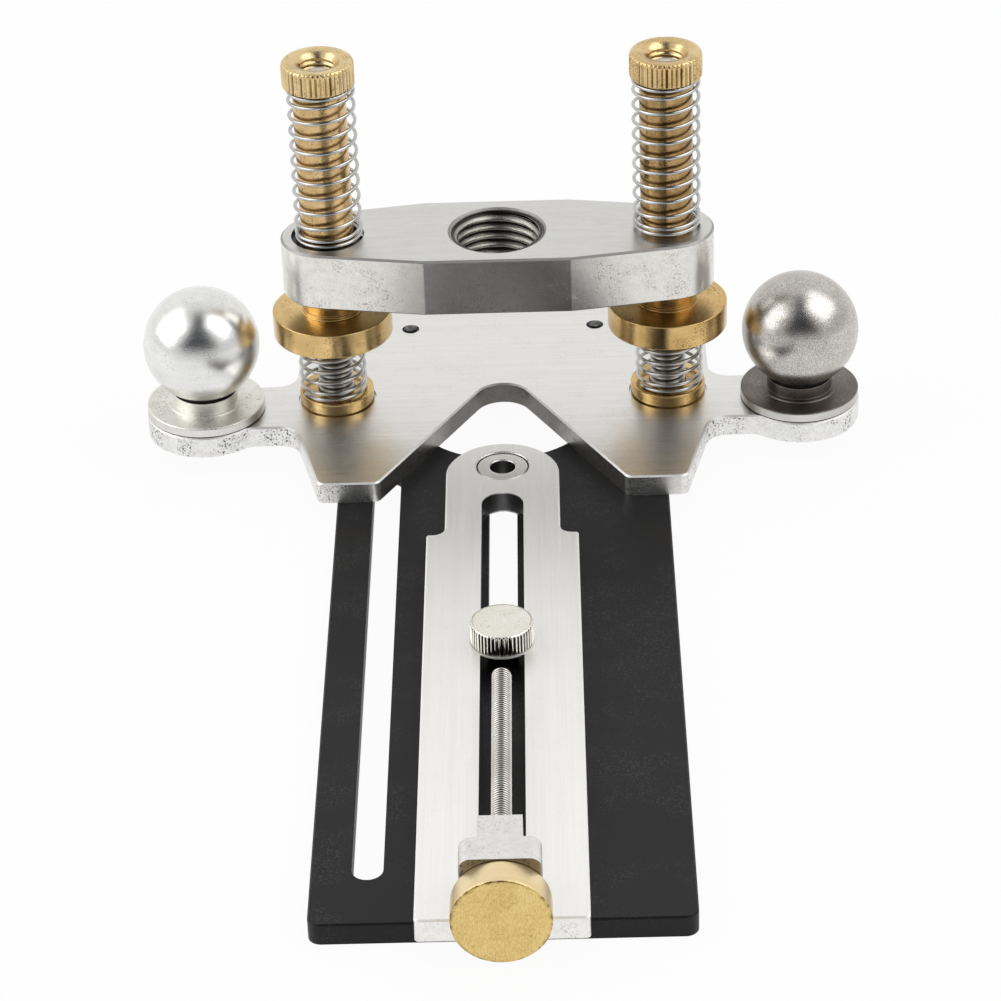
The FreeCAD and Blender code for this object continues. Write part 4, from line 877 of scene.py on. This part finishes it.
knob_brass = turned_metal(
    "knob_brass", (0, 0, ROD_LEVEL), (0.96, 0.82, 0.54, 1), (0.80, 0.62, 0.33, 1), 0.34, fineness=2600.0,
    mark=0.25, speck=0.12, cloud=90.0, lying=True, sand=0.2)
face_brass, tree, shader = new_finish("knob_face_brass", metallic=1.0)
place = lay(tree, "TexCoord").outputs["Object"]
stretched = lay(tree, "Mapping", {"Vector": place, "Scale": (3600, 3600, 1300)}).outputs[0]
brush = place_effect(tree, brush_effect, Vector=stretched)
pits = place_effect(tree, pit_effect, Vector=place, Fineness=2600.0, Patches=300.0)["Pits"]
centred = lay(tree, "Mapping", {"Vector": place, "Location": (0, 0, -ROD_LEVEL * TO_METRES)}).outputs[0]
centred = lay(tree, "Mapping", {"Vector": centred, "Rotation": (math.radians(90), 0, 0)}).outputs[0]
# A ragged burr darkens the rim of the knob's face.
burr = place_effect(tree, groove_effect, Vector=centred, Flush=0.0085, Deep=0.0091)["Depth"]
uneven = place_effect(tree, grain_effect, Vector=place, Fineness=900.0, Cloud=260.0)
ragged = ramp(tree, uneven["Grain"], 0.42, 0.62)
burr = maths(tree, "MULTIPLY", burr, ragged)
lines = ramp(tree, brush["Lines"], 0.34, 0.66)
broad = ramp(tree, uneven["Clouds"], 0.36, 0.64)
tone = between(tree, 0.35, lines, broad)
colour = mixed(tree, tone, (0.61, 0.43, 0.14, 1), (0.86, 0.66, 0.29, 1))
pits = maths(tree, "MULTIPLY", pits, 0.4)
colour = mixed(tree, pits, colour, (0.25, 0.15, 0.05, 1))
colour = mixed(tree, burr, colour, (0.20, 0.12, 0.04, 1))
rough = ramp(tree, lines, 0.0, 1.0, 0.45, 0.32)
bump = bumped(tree, lines, 0.35, 0.00003)
feed(tree, shader, {"Base Color": colour, "Roughness": rough, "Normal": bump})

KNOB_FRONT = BIT_Y - 192.5
KNOB_BACK = BIT_Y - 186.5
KNOB_RADIUS = 9.2
knob = eased([(0, KNOB_FRONT), (KNOB_RADIUS, KNOB_FRONT), (KNOB_RADIUS, KNOB_BACK), (0, KNOB_BACK)],
             [0, 0.45, 0.35, 0])
front_rows = (knob[:, 1] > KNOB_FRONT + 0.2).astype(int)
skin("turned_adjuster_knob", turned(knob, (0, ROD_LEVEL), 128, lying=True), [face_brass, knob_brass],
     "knob", ["adjuster_knob"], zones=front_rows)


# The lock screw clamps the bar: a nickel plated head with a straight knurl, a shank that runs in the
# bar's slot and a thread in the guide plate, with a thin steel washer under the head.

LOCK_Y = BIT_Y - 98.0
BAR_TOP = 9.26
WASHER_TOP = 9.66
WASHER_RADIUS = 6.5
WASHER_BORE = 3.3
LOCK_TOP = 14.26
LOCK_RADIUS = 6.35
LOCK_GROOVES = 48
SHANK_RADIUS = 3.2
LOCK_THREAD_RADIUS = 2.95
LOCK_FOOT = 0.35

# Painted shade: the grooves of the lock screw's knurl go near black.
nickel = turned_metal(
    "nickel_plate", (0, LOCK_Y, 0), (0.88, 0.86, 0.79, 1), (0.76, 0.735, 0.66, 1), 0.11, fineness=1500.0,
    mark=0.06, cloud=140.0, speck=0.25, groove=(6.29, 6.08, LOCK_TOP - 0.4, (0.02, 0.02, 0.018, 1)))
stem = [(0, LOCK_FOOT), (LOCK_THREAD_RADIUS, LOCK_FOOT), (LOCK_THREAD_RADIUS, GUIDE_TOP + 0.3),
        (SHANK_RADIUS, GUIDE_TOP + 0.3), (SHANK_RADIUS, WASHER_TOP)]
head = eased([(SHANK_RADIUS, WASHER_TOP), (LOCK_RADIUS, WASHER_TOP), (LOCK_RADIUS, LOCK_TOP),
              (0, LOCK_TOP)], [0, 0.35, 0.75, 0], steps=8)
split = np.argmax(head[:, 1] > WASHER_TOP + 0.6)
wall = long_run(LOCK_RADIUS, WASHER_TOP + 0.55, LOCK_TOP - 1.0, 0.25)
profile = np.concatenate([stem, head[1:split], wall, head[split:]])
lock_knurl = knurl_relief(LOCK_RADIUS, LOCK_GROOVES, depth=0.32, low=WASHER_TOP - 0.5, seed=11)
skin("knurled_lock_screw", turned(profile, (0, LOCK_Y), LOCK_GROOVES * COLUMNS_PER_GROOVE, lock_knurl),
     [nickel], "screw", ["lock_screw"])

washer_steel = turned_metal(
    "washer_steel", (0, LOCK_Y, 0), (0.75, 0.74, 0.71, 1), (0.5, 0.49, 0.47, 1), 0.4, metallic=0.3)
washer = eased([(WASHER_BORE, BAR_TOP), (WASHER_RADIUS, BAR_TOP), (WASHER_RADIUS, WASHER_TOP),
                (WASHER_BORE, WASHER_TOP)], 0.08, ring=True)
skin("thin_washer", turned(washer, (0, LOCK_Y)), [washer_steel], "washer", ["lock_washer"],
     ring=True)


# The jig was photographed on white paper between soft boxes. The floor is plain white paper that
# keeps a faint shadow, and the world is white except for the dark side of the room in front.

FLOOR_HALF = 3.0
floor_mesh = bpy.data.meshes.new("white_paper")
corners = [(x * FLOOR_HALF, y * FLOOR_HALF, 0) for x, y in ((-1, -1), (1, -1), (1, 1), (-1, 1))]
floor_mesh.from_pydata(corners, [], [(0, 1, 2, 3)])
stand("white_paper", floor_mesh)
paper, tree, shader = new_finish("white_paper", base_color=(0.78, 0.78, 0.78, 1), roughness=0.9,
                                 specular_ior_level=0.1)
rays = lay(tree, "LightPath").outputs
seen = maths(tree, "MAXIMUM", rays["Is Camera Ray"], rays["Is Glossy Ray"])
seen = maths(tree, "MAXIMUM", seen, rays["Is Transmission Ray"])
glow = lay(tree, "Emission", {"Color": (1, 1, 1, 1), "Strength": 1.0})
share = maths(tree, "MULTIPLY", seen, 0.95)
sheet = lay(tree, "MixShader", {0: share, 1: shader.outputs[0], 2: glow.outputs[0]})
feed(tree, tree.nodes["Material Output"], {"Surface": sheet.outputs[0]})
floor_mesh.materials.append(paper)

world = bpy.data.worlds.new("white_room")
bpy.context.scene.world = world
world.use_nodes = True
tree = world.node_tree
parts = lay(tree, "SeparateXYZ", {0: lay(tree, "TexCoord").outputs["Generated"]}).outputs
front = ramp(tree, parts["Y"], 0.3, -0.2, smooth=True)
aside = maths(tree, "ABSOLUTE", parts["X"])
reach = ramp(tree, parts["Z"], 0.3, 1.0, 0.68, 0.2)
spare = maths(tree, "SUBTRACT", reach, aside)
middle = ramp(tree, spare, 0.0, 0.12, smooth=True)
high = ramp(tree, parts["Z"], 0.14, 0.36, smooth=True)
dark = maths(tree, "MULTIPLY", front, middle)
dark = maths(tree, "MULTIPLY", dark, high)
behind = ramp(tree, parts["Y"], 0.0, 0.7, smooth=True)
pale = mixed(tree, behind, (0.70, 0.70, 0.70, 1), (0.94, 0.94, 0.93, 1))
room = mixed(tree, dark, pale, (0.04, 0.043, 0.052, 1))
looked_at = lay(tree, "LightPath").outputs["Is Camera Ray"]
room = mixed(tree, looked_at, room, (0.98, 0.98, 0.98, 1))
feed(tree, tree.nodes["Background"], {"Color": room, "Strength": 1.0})


def looking(place, target, roll=0.0):
    """The turn and place of a lamp or camera that looks from one point at another: its axes run across,
    up and back along the view, and the roll turns the first two."""
    ahead = np.subtract(target, place)
    ahead /= np.linalg.norm(ahead)
    across = np.cross(ahead, (0, 0, 1))
    across /= np.linalg.norm(across)
    upward = np.cross(across, ahead)
    turn = np.eye(4)
    turn[:3, 0] = across * math.cos(roll) + upward * math.sin(roll)
    turn[:3, 1] = upward * math.cos(roll) - across * math.sin(roll)
    turn[:3, 2] = -ahead
    turn[:3, 3] = place
    return Matrix(turn.tolist())


LIT_POINT = (0.0, 0.03, 0.03)
for name, spot, size, power in (("left_soft_box", (-0.95, -0.06, 0.72), 1.05, 5.6),
                                ("right_soft_box", (0.72, -0.08, 0.95), 1.0, 5.0)):
    lamp = bpy.data.lights.new(name, "AREA")
    lamp.shape = "SQUARE"
    lamp.size = size
    lamp.energy = power
    stand(name, lamp).matrix_world = looking(spot, LIT_POINT)


# The camera stands where the photograph was taken from: in front, a third of the way up, rolled a
# little, with a long lens.

CAMERA_PLACE = (0.01265, -0.62509, 0.41752)
CAMERA_TARGET = (-0.001318, 0.07525, -0.018689)
CAMERA_ROLL = math.radians(-2.041)
FOCAL_PIXELS = 3647.1
PICTURE_PIXELS = 1001
SENSOR = 36.0

lens = bpy.data.cameras.new("photograph_camera")
lens.sensor_width = SENSOR
lens.lens = FOCAL_PIXELS * SENSOR / PICTURE_PIXELS
lens.clip_start = 0.01
lens.clip_end = 20.0
camera = stand("photograph_camera", lens)
camera.matrix_world = looking(CAMERA_PLACE, CAMERA_TARGET, CAMERA_ROLL)
bpy.context.scene.camera = camera
bpy.context.scene.view_settings.view_transform = "Standard"

bpy.context.view_layer.update()
